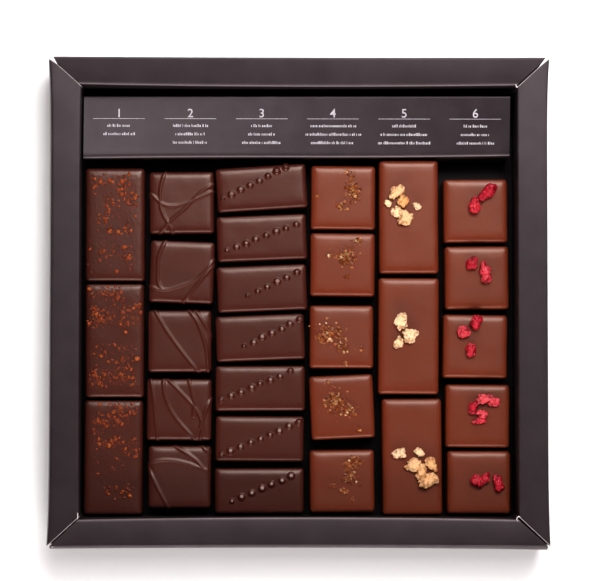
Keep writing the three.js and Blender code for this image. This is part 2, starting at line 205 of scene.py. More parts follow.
def cut_card(name, colour, core_colour):
    """The cut edge of the board: a pale, unglazed core with darker flecks of the dyed face."""
    material, tree = new_material(name)
    fibre = noise(tree, 0.9, detail=4.0, roughness=0.65)
    shade = ramp(tree, fibre, [(0.5, core_colour), (0.75, "#7d7476")])
    shader = add_node(
        tree, "ShaderNodeBsdfPrincipled", {"Roughness": 0.8, "IOR": 1.46}, [("Base Color", shade)]
    )
    return finish_material(material, shader)


def couverture(name, colour, deep_colour, gloss):
    """Enrobing couverture set in air: a satin coat with faint cloudy patches where the cocoa butter set
    unevenly, and a skin that ripples very slightly."""
    material, tree = new_material(name)
    cloud = noise(tree, 7.0, detail=3.0)
    ripple = noise(tree, 3.2, detail=2.0)
    grain = noise(tree, 0.45, detail=3.0, roughness=0.6)
    shade = mix(
        tree, scaled(tree, cloud, 0.0, 1.0), linear_value(tree, deep_colour), linear_value(tree, colour)
    )
    coarse = bump(tree, ripple, 0.12, 0.5)
    fine = add_node(
        tree,
        "ShaderNodeBump",
        {"Distance": 0.012 * MM, "Strength": 0.6},
        [("Height", grain), ("Normal", coarse)],
    ).outputs["Normal"]
    shader = add_node(
        tree,
        "ShaderNodeBsdfPrincipled",
        {
            "IOR": 1.46,
            "Specular IOR Level": gloss,
            "Specular Tint": linear("#fff3ea"),
            "Subsurface Weight": 0.06,
            "Subsurface Scale": 0.0008,
        },
        [
            ("Base Color", shade),
            ("Roughness", scaled(tree, cloud, 0.33, 0.39)),
            ("Normal", fine),
        ],
    )
    return finish_material(material, shader)


def lumpy_topping(name, deep, stops, roughness, scatter, pimple_mm, depth=0.4):
    """Toasted nut or freeze-dried berry in crumbs: soft, slightly translucent flesh. The tone attribute gives
    each crumb its own tone, the crevices between its lobes are painted darker as shade, and fine pimples roughen its
    skin."""
    material, tree = new_material(name)
    tone = add_node(tree, "ShaderNodeAttribute", {"attribute_name": "tone"}).outputs["Fac"]
    crevice_shade = add_node(tree, "ShaderNodeAttribute", {"attribute_name": "crevice_shade"}).outputs["Fac"]
    cells = noise(tree, pimple_mm, detail=3.0, roughness=0.6)
    shift = scaled(tree, cells, -0.25, 0.25)
    shade = add_node(tree, "ShaderNodeMath", {"operation": "ADD"}, [(0, tone), (1, shift)]).outputs[0]
    # Painted shade: the crevices are mixed towards the deep colour, by at most depth.
    face = mix(tree, scaled(tree, crevice_shade, 0.0, depth), ramp(tree, shade, stops), linear_value(tree, deep))
    shader = add_node(
        tree,
        "ShaderNodeBsdfPrincipled",
        {"IOR": 1.45, "Roughness": roughness, "Subsurface Weight": scatter, "Subsurface Scale": 0.0008},
        [("Base Color", face), ("Normal", bump(tree, cells, 0.25, 0.8))],
    )
    return finish_material(material, shader)


def brittle_sugar(name, stops):
    """Caramelised sugar, broken small: clear red-brown grains with a glassy shine; a few are painted pale, partly
    as paler sugar and partly as a painted glint. The tone attribute gives each grain its own tone."""
    material, tree = new_material(name)
    tone = add_node(tree, "ShaderNodeAttribute", {"attribute_name": "tone"}).outputs["Fac"]
    shader = add_node(
        tree,
        "ShaderNodeBsdfPrincipled",
        {"IOR": 1.5, "Roughness": 0.36, "Subsurface Weight": 0.4, "Subsurface Scale": 0.001},
        [("Base Color", ramp(tree, tone, stops))],
    )
    return finish_material(material, shader)


def printed_ink(name, colour):
    """Pad-printed matt ink, thin enough that the card's fibre breaks it up a little."""
    material, tree = new_material(name)
    fibre = noise(tree, 0.35, detail=3.0, roughness=0.7)
    shade = ramp(tree, fibre, [(0.3, "#8f8b8e"), (0.55, colour)])
    shader = add_node(tree, "ShaderNodeBsdfPrincipled", {"Roughness": 0.7}, [("Base Color", shade)])
    return finish_material(material, shader)


def matt_board(name, colour):
    """White laminate of the table top, plain and matt."""
    material, tree = new_material(name)
    mottle = noise(tree, 60.0)
    shader = add_node(
        tree,
        "ShaderNodeBsdfPrincipled",
        {"Base Color": linear(colour), "Specular IOR Level": 0.1},
        [("Roughness", scaled(tree, mottle, 0.55, 0.65))],
    )
    return finish_material(material, shader)


def make_piece(name, points, faces, materials, face_materials=None, smooth=True, attributes=None):
    """A mesh object from points in millimetres and faces, given as a list of equal-sided face arrays.
    face_materials is one index for each face, in the same order."""
    mesh = bpy.data.meshes.new(name)
    loops = np.concatenate([group.ravel() for group in faces]).astype(np.int32)
    sizes = np.concatenate([np.full(len(group), group.shape[1]) for group in faces]).astype(np.int32)
    mesh.vertices.add(len(points))
    mesh.vertices.foreach_set("co", (np.asarray(points) * MM).astype(np.float32).ravel())
    mesh.loops.add(len(loops))
    mesh.loops.foreach_set("vertex_index", loops)
    mesh.polygons.add(len(sizes))
    starts = np.concatenate([[0], np.cumsum(sizes)[:-1]]).astype(np.int32)
    mesh.polygons.foreach_set("loop_start", starts)
    mesh.polygons.foreach_set("use_smooth", np.full(len(sizes), smooth))
    for material in materials:
        mesh.materials.append(material)
    if face_materials is not None:
        mesh.polygons.foreach_set("material_index", np.asarray(face_materials, dtype=np.int32))
    for attribute, values in (attributes or {}).items():
        layer = mesh.attributes.new(attribute, "FLOAT", "POINT")
        layer.data.foreach_set("value", np.asarray(values, dtype=np.float32).ravel())
    mesh.update(calc_edges=True)
    mesh.set_sharp_from_angle(angle=math.radians(50))
    piece = bpy.data.objects.new(name, mesh)
    bpy.context.scene.collection.objects.link(piece)
    return piece


def place_piece(piece, nodes=()):
    """Puts a finished piece on the box's body, and hides the model's nodes that it stands in for."""
    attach(piece, BODY)
    if nodes:
        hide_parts(*nodes)


def grid_faces(rows, columns, close_rows=False, close_columns=False):
    """Quads of a grid of points, whose faces look along columns x rows."""
    i = np.arange(rows if close_rows else rows - 1)[:, None]
    j = np.arange(columns if close_columns else columns - 1)[None, :]
    next_i = (i + 1) % rows
    next_j = (j + 1) % columns
    corners = [i * columns + j, i * columns + next_j, next_i * columns + next_j, next_i * columns + j]
    return np.stack([np.broadcast_to(c, (i.size, j.size)).ravel() for c in corners], axis=1)


def border_loop(rows, columns):
    """The indices round the edge of a grid, as one face that looks the other way."""
    first = np.arange(columns)
    right = np.arange(1, rows) * columns + columns - 1
    last = (rows - 1) * columns + np.arange(columns - 2, -1, -1)
    left = np.arange(rows - 2, 0, -1) * columns
    return np.concatenate([first, right, last, left])[::-1][None, :]


def rounded_rectangle(across, along, half_x, half_y, radius):
    """Carries a point of the unit square's border to a rounded rectangle: on the straight stretches it is
    scaled, and near a corner it is swung onto the corner's arc."""
    x = across * half_x
    y = along * half_y
    local_x = np.maximum(np.abs(x) - (half_x - radius), 0)
    local_y = np.maximum(np.abs(y) - (half_y - radius), 0)
    in_corner = (local_x > 0) & (local_y > 0)
    angle = np.arctan2(local_y, local_x)
    corner_x = np.sign(x) * (half_x - radius + radius * np.cos(angle))
    corner_y = np.sign(y) * (half_y - radius + radius * np.sin(angle))
    return np.where(in_corner, corner_x, x), np.where(in_corner, corner_y, y)


def smooth_curve(points, samples=24):
    """Points along a Catmull-Rom curve through the given ones, with the two end points repeated."""
    knots = np.array([points[0], *points, points[-1]], dtype=float)
    t = np.linspace(0, 1, samples, endpoint=False)[None, :, None]
    a, b, c, d = (knots[k:len(knots) - 3 + k, None, :] for k in range(4))
    spans = 0.5 * (2 * b + (c - a) * t + (2 * a - 5 * b + 4 * c - d) * t**2 + (3 * b - a - 3 * c + d) * t**3)
    return np.concatenate([spans.reshape(-1, 2), knots[-1:]])


def nearest(points_x, points_y, curve):
    """The distance from each point to a curve, and how far along the curve that is, from 0 to 1."""
    start = curve[:-1]
    step = np.diff(curve, axis=0)
    length = np.maximum(np.hypot(step[:, 0], step[:, 1]), 1e-6)
    offset_x = points_x[..., None] - start[:, 0]
    offset_y = points_y[..., None] - start[:, 1]
    share = np.clip((offset_x * step[:, 0] + offset_y * step[:, 1]) / length**2, 0, 1)
    distance = np.hypot(offset_x - share * step[:, 0], offset_y - share * step[:, 1])
    best = distance.argmin(axis=-1)
    near = np.take_along_axis(distance, best[..., None], axis=-1)[..., 0]
    return near, (best + 0.5) / len(length)


def waves(x, y, rng, size, count=5):
    """A gentle uneven field: a sum of plane waves about size long, in random directions and phases."""
    angle = rng.uniform(0, 2 * np.pi, count)
    phase = rng.uniform(0, 2 * np.pi, count)
    stretch = 2 * np.pi / (size * rng.uniform(0.7, 1.5, count))
    along = np.multiply.outer(x, np.cos(angle)) + np.multiply.outer(y, np.sin(angle))
    return np.sin(along * stretch + phase).mean(axis=-1)


def footprint(node, turn):
    """The middle, half width, half length and foot height of a chocolate, from the model's own foot."""
    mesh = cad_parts[node].data
    points = np.empty(3 * len(mesh.vertices))
    mesh.vertices.foreach_get("co", points)
    points = points.reshape(-1, 3) / MM
    foot = points[points[:, 2] < points[:, 2].min() + 0.3 * COAT_HEIGHT]
    angle = math.radians(-turn)
    turned_x = foot[:, 0] * math.cos(angle) - foot[:, 1] * math.sin(angle)
    turned_y = foot[:, 0] * math.sin(angle) + foot[:, 1] * math.cos(angle)
    middle = np.array([turned_x.max() + turned_x.min(), turned_y.max() + turned_y.min()]) / 2
    centre = np.array([
        middle[0] * math.cos(angle) + middle[1] * math.sin(angle),
        -middle[0] * math.sin(angle) + middle[1] * math.cos(angle),
    ])
    return centre, np.ptp(turned_x) / 2, np.ptp(turned_y) / 2, points[:, 2].min()


def coat_profile():
    """The edge of the coat, from the top's border down: inset from the foot's outline, and height. The slope
    rises from nearly level to upright as an exponential of the distance from the wall, which is summed up
    to heights. The wall then flares a little as a cosine towards the foot, and the foot tucks in."""
    across = EDGE_WIDTH * (1 - np.sin(np.linspace(0, np.pi / 2, 8 * EDGE_RINGS + 1)))
    slope = np.tan(np.minimum(np.pi / 2 * np.exp(-across / EDGE_FADE), 1.53))
    steps = -np.diff(across) * (slope[1:] + slope[:-1]) / 2
    drop = np.concatenate([[0], np.cumsum(steps)])[::8]
    edge_inset = WALL_INSET + across[::8]
    edge_height = COAT_HEIGHT - drop
    down = np.linspace(0, 1, WALL_RINGS + 1)[1:]
    wall_inset = WALL_INSET * (1 - down) * (1 - 0.35 * np.sin(np.pi * down))
    wall_height = edge_height[-1] + (FOOT_HEIGHT - edge_height[-1]) * down
    tuck = np.linspace(0, np.pi / 2, FOOT_RINGS + 1)[1:]
    foot_inset = FOOT_INSET * (1 - np.cos(tuck))
    foot_height = FOOT_HEIGHT * (1 - np.sin(tuck))
    insets = np.concatenate([edge_inset, wall_inset, foot_inset])
    return insets, np.concatenate([edge_height, wall_height, foot_height])


def crown(half_x, half_y, x, y):
    """How far the top lies under its middle: a gentle fall towards each of the four sides, as a square law
    over the last few millimetres, and the two directions are added."""
    coat = bpy.context.scene.praline_coat
    near_x = np.clip(1 - (half_x - np.abs(x)) / coat.sag_width, 0, 1)
    near_y = np.clip(1 - (half_y - np.abs(y)) / coat.sag_width, 0, 1)
    return coat.sag_depth * (near_x**2 + near_y**2 - 0.5 * near_x**2 * near_y**2)


# How much higher the front border of a chocolate's top is than its back border, in millimetres.
FRONT_RISES = {
    "flake_bar_1": 0.3, "ridged_square_1": 0.36, "ridged_square_3": 0.2, "ridged_square_5": 0.64,
    "crystal_square_3": 0.37, "crystal_square_5": 0.5, "nut_bar_3": 0.45, "berry_square_1": -0.12,
    "berry_square_3": 0.33, "berry_square_5": 0.4,
}


def coated_chocolate(name, node, turn, spacing, materials, seed, relief):
    """One coated chocolate. A grid over the square from -1 to 1 is laid on it: inside, the grid is the top,
    whose height falls off towards its border as a square law; the outer rings follow the coat's profile
    down to the foot. Then each point moves along its normal by the relief's height there."""
    rng = np.random.default_rng(seed)
    centre, half_x, half_y, foot_z = footprint(node, turn)
    insets, heights = coat_profile()
    rings = len(insets)
    top_share = 0.97
    outer = np.linspace(top_share, 1, rings)[1:]
    counts = [max(8, int(2 * half / spacing)) for half in (half_x, half_y)]
    lines = [
        np.concatenate([-outer[::-1], np.linspace(-top_share, top_share, count + 1), outer]) for count in counts
    ]
    u, v = np.meshgrid(*lines)
    ring = np.maximum(np.abs(u), np.abs(v))
    safe = np.maximum(ring, 1e-9)
    place = np.clip((ring - top_share) / (1 - top_share), 0, 1) * (rings - 1)
    inset = np.interp(place, np.arange(rings), insets)
    height = np.interp(place, np.arange(rings), heights)
    radius = np.maximum(CORNER_RADIUS - 0.3 * inset, 0.5)
    x, y = rounded_rectangle(u / safe, v / safe, half_x - inset, half_y - inset, radius)
    inner = np.minimum(ring / top_share, 1)
    x = x * inner
    y = y * inner
    z = height - crown(half_x, half_y, x, y) * np.clip(height / COAT_HEIGHT, 0, 1)
    uneven = 0.05 * waves(x, y, rng, 11.0) - 0.5 * FRONT_RISES.get(node, 0) * y / half_y
    z = z + uneven * np.clip(height / COAT_HEIGHT, 0, 1)
    wobble = 0.12 * waves(x, y + z, rng, 14.0)
    x = x + wobble * np.sign(x) * np.clip(ring / top_share, 0, 1) ** 8 * 0.6
    points = np.stack([x, y, z], axis=-1)
    if relief is not None:
        normal = np.cross(np.gradient(points, axis=1), np.gradient(points, axis=0))
        normal /= np.maximum(np.linalg.norm(normal, axis=-1, keepdims=True), 1e-12)
        fade = np.clip((z - FOOT_HEIGHT) / (0.6 * COAT_HEIGHT), 0, 1)
        points = points + normal * (relief(x, y) * fade)[..., None]
    angle = math.radians(turn)
    turned = points.copy()
    turned[..., 0] = centre[0] + points[..., 0] * math.cos(angle) - points[..., 1] * math.sin(angle)
    turned[..., 1] = centre[1] + points[..., 0] * math.sin(angle) + points[..., 1] * math.cos(angle)
    turned[..., 2] += foot_z
    rows, columns = u.shape
    faces = [grid_faces(rows, columns), border_loop(rows, columns)]
    piece = make_piece(name, turned.reshape(-1, 3), faces, materials)
    place_piece(piece, [node])
    return piece


def spread_over(node, turn, spots):
    """Carries (x, y) spots on a chocolate, from its own middle, to the box, with the height of its top."""
    centre, half_x, half_y, foot_z = footprint(node, turn)
    spots = np.asarray(spots, dtype=float).reshape(-1, 2)
    fall = crown(half_x, half_y, spots[:, 0], spots[:, 1]) + 0.5 * FRONT_RISES.get(node, 0) * spots[:, 1] / half_y
    angle = math.radians(turn)
    x = centre[0] + spots[:, 0] * math.cos(angle) - spots[:, 1] * math.sin(angle)
    y = centre[1] + spots[:, 0] * math.sin(angle) + spots[:, 1] * math.cos(angle)
    return np.stack([x, y, foot_z + COAT_HEIGHT - fall], axis=1)


def ball(rows, columns):
    """Directions over a sphere by latitude and longitude, a pole at each end, and its outward faces."""
    latitude = np.linspace(0, np.pi, rows + 1)[1:-1]
    longitude = np.linspace(0, 2 * np.pi, columns, endpoint=False)
    lat, lon = np.meshgrid(latitude, longitude, indexing="ij")
    body = np.stack([np.sin(lat) * np.cos(lon), np.sin(lat) * np.sin(lon), np.cos(lat)], axis=-1)
    directions = np.concatenate([body.reshape(-1, 3), [[0, 0, 1], [0, 0, -1]]])
    quads = grid_faces(rows - 1, columns, close_columns=True)[:, ::-1]
    here = np.arange(columns)
    after = (here + 1) % columns
    north = len(directions) - 2
    top = np.stack([here, after, np.full(columns, north)], axis=1)
    low = (rows - 2) * columns
    bottom = np.stack([low + after, low + here, np.full(columns, north + 1)], axis=1)
    return directions, [quads, np.concatenate([top, bottom])]


def random_turn(rng, flat=1.0):
    """A random rotation, mostly about the upright when flat is small."""
    turn = Euler((rng.normal(0, flat), rng.normal(0, flat), rng.uniform(0, 2 * math.pi)))
    return np.array(turn.to_matrix())


def join_shapes(shapes):
    """Joins (points, faces) shapes with like face groups into one."""
    offset = 0
    points = []
    groups = [[] for _ in shapes[0][1]]
    for shape_points, shape_faces in shapes:
        points.append(shape_points)
        for group, faces in zip(groups, shape_faces):
            group.append(faces + offset)
        offset += len(shape_points)
    return np.concatenate(points), [np.concatenate(group) for group in groups]


def lobed_lump(rng, size, lobes, knob, crag):
    """A lump of grown-together lobes, covered with small knobs. In the direction d from the middle, a ball of
    radius r round c reaches c.d + root(r squared - c squared + (c.d) squared). The body is the smooth largest
    of a few big balls' reaches and an egg's. Knobs are small balls set into the body's skin, and the surface
    is the larger of both, roughened by crossing waves. Also gives how bare of knobs each point is."""
    directions, faces = ball(38, 56)
    half = np.array(size) / 2

    def reaches(centres, radii):
        along = directions @ centres.T
        inside = radii**2 - (centres**2).sum(axis=1) + along**2
        return np.maximum(np.where(inside > 0, along + np.sqrt(np.maximum(inside, 0)), 0), 0)

    radii = half.min() * rng.uniform(0.5, 0.8, lobes)
    outwards = rng.normal(size=(lobes, 3))
    outwards /= np.linalg.norm(outwards, axis=1, keepdims=True)
    centres = outwards * np.maximum(half - radii[:, None], 0.1)
    egg = 0.62 / np.linalg.norm(directions / half, axis=1)
    reach = np.concatenate([reaches(centres, radii), egg[:, None]], axis=1)
    body = (reach**10).sum(axis=1) ** (1 / 10)
    count = int(22 * (half**2).mean() / knob**2)
    at = rng.integers(0, len(directions), count)
    knob_radii = 0.5 * knob * rng.uniform(0.7, 1.25, count)
    knobs = reaches(directions[at] * (body[at] - 0.25 * knob)[:, None], knob_radii).max(axis=1)
    # How bare of knobs each point is; the material paints these crevices darker as shade.
    crevice_shade = 1 - np.clip((knobs - 0.93 * body) / (0.25 * knob), 0, 1)
    waves_over = sum(np.sin(directions @ rng.normal(0, 9, 3) + rng.uniform(0, 6)) for _ in range(4)) / 4
    radius = np.maximum(0.93 * body, knobs) * (1 + crag * waves_over)
    return directions * radius[:, None], faces, crevice_shade


def soft_flake(rng, size):
    """A soft crumb of peel: a ball pressed flat, its sides moved in and out by crossing waves."""
    directions, faces = ball(6, 10)
    uneven = sum(np.sin(directions @ rng.normal(0, 2.4, 3) + rng.uniform(0, 6)) for _ in range(3)) / 3
    return directions * (1 + 0.35 * uneven)[:, None] * np.array([1, rng.uniform(0.6, 1.0), 0.45]) * size / 2, faces


def sugar_grain(rng, size):
    """A broken crystal: a block whose eight corners are each pulled about at random."""
    corners = np.array([[x, y, z] for z in (-1, 1) for y in (-1, 1) for x in (-1, 1)], dtype=float)
    corners = corners * size / 2 * rng.uniform(0.6, 1.0, 3) * rng.uniform(0.7, 1.1, (8, 3))
    faces = np.array([[0, 2, 3, 1], [4, 5, 7, 6], [0, 1, 5, 4], [2, 6, 7, 3], [0, 4, 6, 2], [1, 3, 7, 5]])
    return corners, [faces]


def join_lumps(lumps):
    """Joins (points, faces, crevice, tone) lumps, each with one tone of its own, into one set."""
    points, faces = join_shapes([lump[:2] for lump in lumps])
    crevice_shade = np.concatenate([lump[2] for lump in lumps])
    tone = np.concatenate([np.full(len(lump[0]), lump[3]) for lump in lumps])
    return points, faces, {"crevice_shade": crevice_shade, "tone": tone}


# What lies on the chocolates. Spots are (x, y) from a chocolate's middle. A cluster is its middle, its
# half width and half length, and how many grains it has.
FLAKE_BARS = [
    (0.1, [((-1, 15.6), (7, 2.5), 14), ((2.5, 9.5), (6, 3), 16), ((-4, 4.5), (3, 4), 8), ((1.5, -2.6), (4.5, 1.2), 8),
           ((1, -10), (7, 2.5), 10), ((0, 0), (9, 17), 14)]),
    (0.2, [((-4, 17.5), (5, 2), 12), ((1.5, 16), (2, 1.5), 6), ((-4.5, 8.5), (5, 3.5), 26),
           ((5.5, 9), (4, 4), 20), ((0, -5), (8.5, 3), 14), ((-4, -13), (4.5, 3), 20), ((4, -13), (4, 3), 14)]),
    (-0.3, [((3, 18), (5.5, 2), 14), ((0, 13.5), (7, 3), 24), ((-1.5, 5.5), (3.5, 1.5), 10),
            ((6, 3.5), (3, 3), 10), ((2, -12.5), (5.5, 2.5), 10), ((0, 2), (8, 8), 10)]),
]
# The largest flakes of each bar: x and y from its middle, and the size.
LARGE_FLAKES = [
    [(-7.6, 16.9, 1.8), (-2, 16.2, 1.6), (-0.9, 15.8, 1.9), (2.7, 15.8, 2.1), (5.2, 18.2, 1.5), (-7.6, 13.9, 1.6),
     (2.7, 11.2, 1.5), (8, 10.7, 1), (4.8, 8.7, 1.2), (-4, 2.5, 1.5), (7.6, 3.1, 1.1), (-1.8, -2.4, 2.2),
     (1.2, -2.6, 1.6), (2.4, -3.4, 1.3), (5.9, -2.2, 1.5), (3.5, -8.4, 2.1), (5.4, -11.4, 1.5), (-1.8, -11.5, 1.4)],
    [(-9.2, 19, 1.5), (-1.2, 16.8, 2.1), (2.3, 18, 1.6), (3.1, 10.3, 2), (-6.6, 9.7, 1.8), (-5, 8, 1.6),
     (4.1, 3.1, 1.6), (2.9, -6.6, 2.2), (8.3, -6.6, 2.2), (-4.8, -5.7, 1.8), (5.3, -9.3, 1.5), (-3.6, -12.5, 1.7),
     (5.3, -13.4, 1.6), (-7, 12.5, 1.4), (7, 12, 1.4)],
    [(-5.1, 19.4, 1.9), (7.3, 16.2, 2.2), (-1.9, 15.4, 1.8), (1.4, 13.8, 1.7), (0.8, 6.7, 2), (-1.6, 4.3, 2.1),
     (-5.1, 4.9, 1.6), (8.5, 2.6, 1.7), (1.4, -0.4, 1.3), (6.2, -14, 1.8), (-1.6, -13.4, 1.4), (5.6, -9.9, 1.1)],
]
RIDGED_SQUARES = [
    (0.6, [
        [(-12, 2.6), (-11.3, 3.1), (-6.8, -0.6), (-2.6, -1.3), (2, -0.2), (6.2, 1.7), (12, 4.1)],
        [(-5.6, 12), (-7.5, 6.5), (-7.9, 0.6), (-7.1, -3.6), (-4.7, -8.2), (-3, -12)],
        [(12, 6.8), (7, 3.6), (1.1, -2.3), (-2.6, -5.3), (-5.8, -8.6), (-8.4, -12)],
    ]),
    (-2, [
        [(-6, 12), (-8.6, 5.5), (-8.7, 0), (-8.4, -4.2), (-6, -6.9), (1.3, -4.6), (5.5, -2.5), (8.8, 0.8), (12, 5.2)],
        [(-12, -5.6), (-9, -6.6), (-6, -6.9)],
        [(12, 3.4), (8, -1.7), (4.2, -6.7), (0.3, -12)],
    ]),
    (0.2, [
        [(-9.4, 12), (-5.1, 4.5), (-0.3, -2.3), (4.4, -8.4), (7.6, -12)],
        [(3, 12), (6.4, 7.2), (8.5, 1.8), (10, -4.3), (10.5, -12)],
        [(5.4, 12), (9.1, 6.5), (12, 1.6)],
    ]),
    (-0.3, [
        [(-10.6, 12), (-9.3, 3.8), (-8.6, -3.7), (-7.7, -12)],
        [(-5.8, 12), (-5.4, 5.8), (-3, -0.3), (1, -5.7), (7, -12)],
        [(-5.2, 12), (-1, 7.9), (3, 3.8), (6.4, -0.3), (8.5, -5.7), (7.6, -12)],
        [(3.2, 12), (4.5, 7.2), (5.4, 2.4), (5.2, -2.3)],
        [(12, 4.3), (9.5, -0.9), (7.8, -6.4)],
    ]),
    (-0.2, [
        [(-12, 4.7), (-7, 6), (-2.3, 6), (2.4, 5.1), (6.5, 3.7), (10, 2.4)],
        [(-2.8, 12), (2.4, 8.7), (5.8, 6.3), (8.5, 3.2)],
        [(7.6, 12), (9.8, 9.8), (12, 8.8)],
        [(-12, 4.5), (-9.4, -1.2), (-7, -5.9), (-3.6, -12)],
    ]),
]
DOTTED_BARS = [
    (3.8, (-14.4, -3.1), (9.4, 7.1), 8),
    (2.4, (-13, -4.3), (12.8, 4.4), 8),
    (2.4, (-5.5, -2.8), (12.9, 5.3), 6),
    (2.3, (-5.9, -3.2), (14.5, 6.1), 7),
    (0.3, (-14.3, -4.2), (11, 6.1), 8),
    (-0.3, (-14, -6), (14.4, 6.1), 9),
    (0.2, (-10, -3.8), (11.7, 5.2), 7),
]
CRYSTAL_SQUARES = [
    (-0.5, [((3.5, 3.2), (2.6, 4.4), 70), ((-0.6, -3), (2, 2), 16), ((1, 9), (3.5, 1), 8), ((-10, 0), (0.8, 0.8), 2)]),
    (-0.5, [((1.2, 2.6), (4.4, 3.2), 80), ((5.6, 8.4), (2.2, 1.8), 16), ((2, -4.6), (1, 1.2), 6), ((-5, 3), (2, 1), 8)]),
    (-0.1, [((-4.3, 0.9), (5.0, 4.2), 95), ((0.8, -3.9), (3.4, 2.6), 24), ((7.4, -5), (1, 1), 4), ((1.2, -9.7), (1, 1), 4)]),
    (2.6, [((-2.5, 1.8), (3.8, 4.6), 90), ((1.8, -0.8), (2.8, 2.2), 26), ((-5, 9.2), (1, 1), 4), ((6, -8.9), (1, 1), 3)]),
    (0.6, [((3.6, 6.6), (3.2, 2.4), 60), ((2.8, 1.6), (2.6, 2.8), 34), ((0.6, -3.8), (2.6, 1.3), 14), ((-3.5, -1.2), (1, 1), 5),
           ((3.7, -6.8), (1, 1), 5)]),
]
NUT_BARS = [
    (0.2, [((-4.1, 9.1), (6.5, 4.2), 25), ((-2.1, 5.5), (5.3, 4.4), 30), ((-7.8, 4.9), (3.2, 2.2), -50),
           ((-4.4, 1.6), (4.3, 3.8), 10), ((-1.4, -0.8), (5.8, 4.9), -45), ((3.2, 4.1), (3.2, 2.5), -50)]),
    (-0.3, [((-2.9, 5.4), (5.6, 4.9), 60), ((0.5, 0.2), (5.5, 5), 20), ((-3.7, -2.6), (4.4, 3.4), 50)]),
    (0.4, [((-4.8, 1.2), (4.6, 3.8), 40), ((2.6, 1.4), (3.8, 2.9), -60), ((0.7, -3), (6.3, 5), 50),
           ((3.4, -5.9), (5.4, 3.6), 70), ((7, -2.9), (5.4, 3.8), -60), ((6.1, -8.3), (7, 5.4), 40)]),
]
# Lengths of the lines of marks under each numeral, in millimetres.
LABEL_LINES = [
    (8.6, 11.4), (12.8, 11.0, 12.8), (7.8, 10.0, 14.4), (16.6, 20.2, 16.2), (8.8, 17.4, 19.2), (8.6, 10.6, 13.6),
]
BERRY_SQUARES = [
    (0.4, [((4.4, 6.6), (6.9, 4.6), 28), ((-0.3, 1.7), (6.2, 4), 105)]),
    (0.5, [((-2.2, 4.9), (5.4, 3.4), 65), ((2.9, 1.8), (8, 4), 110)]),
    (-0.8, [((0, 8.8), (4.7, 3.8), 75), ((-4.7, 4.8), (4.9, 4), 30), ((-1.6, -1.5), (4.6, 3.8), 120)]),
    (-0.4, [((1.9, 6.2), (5.4, 3.6), 20), ((5.8, 5.3), (4.7, 3.4), -35), ((-1.9, 3.2), (4.2, 3.2), 50),
           ((1.8, 0.9), (4.9, 2.8), 5), ((0.9, -1.6), (5.4, 2.2), 0)]),
    (-0.1, [((-0.9, 0.7), (5.8, 3.6), 105), ((2.1, 1.6), (4, 3), 60), ((7, -0.4), (6.2, 3.4), 100)]),
]


class CardSettings(bpy.types.PropertyGroup):
    """Sizes and colours of the folded card."""
    thickness: FloatProperty(name="Card thickness", description="Board thickness in mm", default=0.7, min=0.2)
    fold_radius: FloatProperty(name="Fold radius", description="Outer radius of a fold in mm", default=0.5)
    fold_reach: FloatProperty(name="Fold reach", description="How far a fold's pale line reaches", default=0.45)
    crown: FloatProperty(name="Rail crown", description="Rise of a rail's middle, in mm", default=0.18)
    twist: FloatProperty(name="Label twist", description="Rise of an edge of the label bar", default=3.0)
    label_lean: FloatProperty(name="Label lean", description="How much higher its back is, in mm", default=0.5)
    face: StringProperty(name="Card face", description="Dyed face, sRGB hex", default="#261d20")
    # The fold colour is far paler than the face: partly wear of the stretched card, partly a painted highlight.
    fold: StringProperty(name="Card fold", description="Stretched fold, sRGB hex", default="#857a7d")
    # The floor's colour is painted shade: the same board as the walls, made far darker because the floor lies in shade.
    floor_painted_shade: StringProperty(name="Card floor", description="Face of the floor, sRGB hex", default="#0c0a0a")
    core: StringProperty(name="Card core", description="Pale cut edge, sRGB hex", default="#aaa4a4")


class LabelSettings(bpy.types.PropertyGroup):
    """Sizes and colours of the print on the label bar."""
    numeral: FloatProperty(name="Numeral height", description="In mm", default=3.2, min=0.5)
    rule: FloatProperty(name="Rule length", description="In mm", default=19.0, min=1)
    pitch: FloatProperty(name="Column pitch", description="Between two columns, in mm", default=26.2, min=1)
    shift: FloatProperty(name="Print shift", description="Of the print to the right, in mm", default=0.1)
    heading: FloatProperty(name="Heading", description="Middle of the numerals, along Y in mm", default=69.2)
    under: FloatProperty(name="Rule place", description="Along Y in mm", default=67.3)
    text: FloatProperty(name="First line", description="Along Y in mm", default=64.6)
    leading: FloatProperty(name="Leading", description="Between two lines, in mm", default=3.1)
    ink: StringProperty(name="Ink", description="Print colour, sRGB hex", default="#c6c3c8")


class CoatSettings(bpy.types.PropertyGroup):
    """Form and colours of the chocolate coats."""
    sag_width: FloatProperty(name="Sag width", description="Border in mm where the top falls off", default=5.0)
    sag_depth: FloatProperty(name="Sag depth", description="Fall at the border in mm", default=0.3)
    ridge_height: FloatProperty(name="Ridge height", description="In mm", default=0.36)
    ridge_width: FloatProperty(name="Ridge half width", description="In mm", default=0.9)
    dot_height: FloatProperty(name="Dot height", description="In mm", default=1.05)
    dot_radius: FloatProperty(name="Dot radius", description="In mm", default=1.4)
    dark: StringProperty(name="Dark coat", description="sRGB hex", default="#55271d")
    dark_deep: StringProperty(name="Dark coat, deep", description="sRGB hex", default="#4f231a")
    milk: StringProperty(name="Milk coat", description="sRGB hex", default="#7b3920")
    milk_deep: StringProperty(name="Milk coat, deep", description="sRGB hex", default="#72341c")


class ToppingSettings(bpy.types.PropertyGroup):
    """Colours of what lies on the chocolates."""
    flake: StringProperty(name="Flakes", description="sRGB hex", default="#964818")
    sugar: StringProperty(name="Sugar", description="sRGB hex", default="#a26338")
    nut: StringProperty(name="Nut", description="sRGB hex", default="#d6a266")
    berry: StringProperty(name="Berry", description="sRGB hex", default="#bd273c")


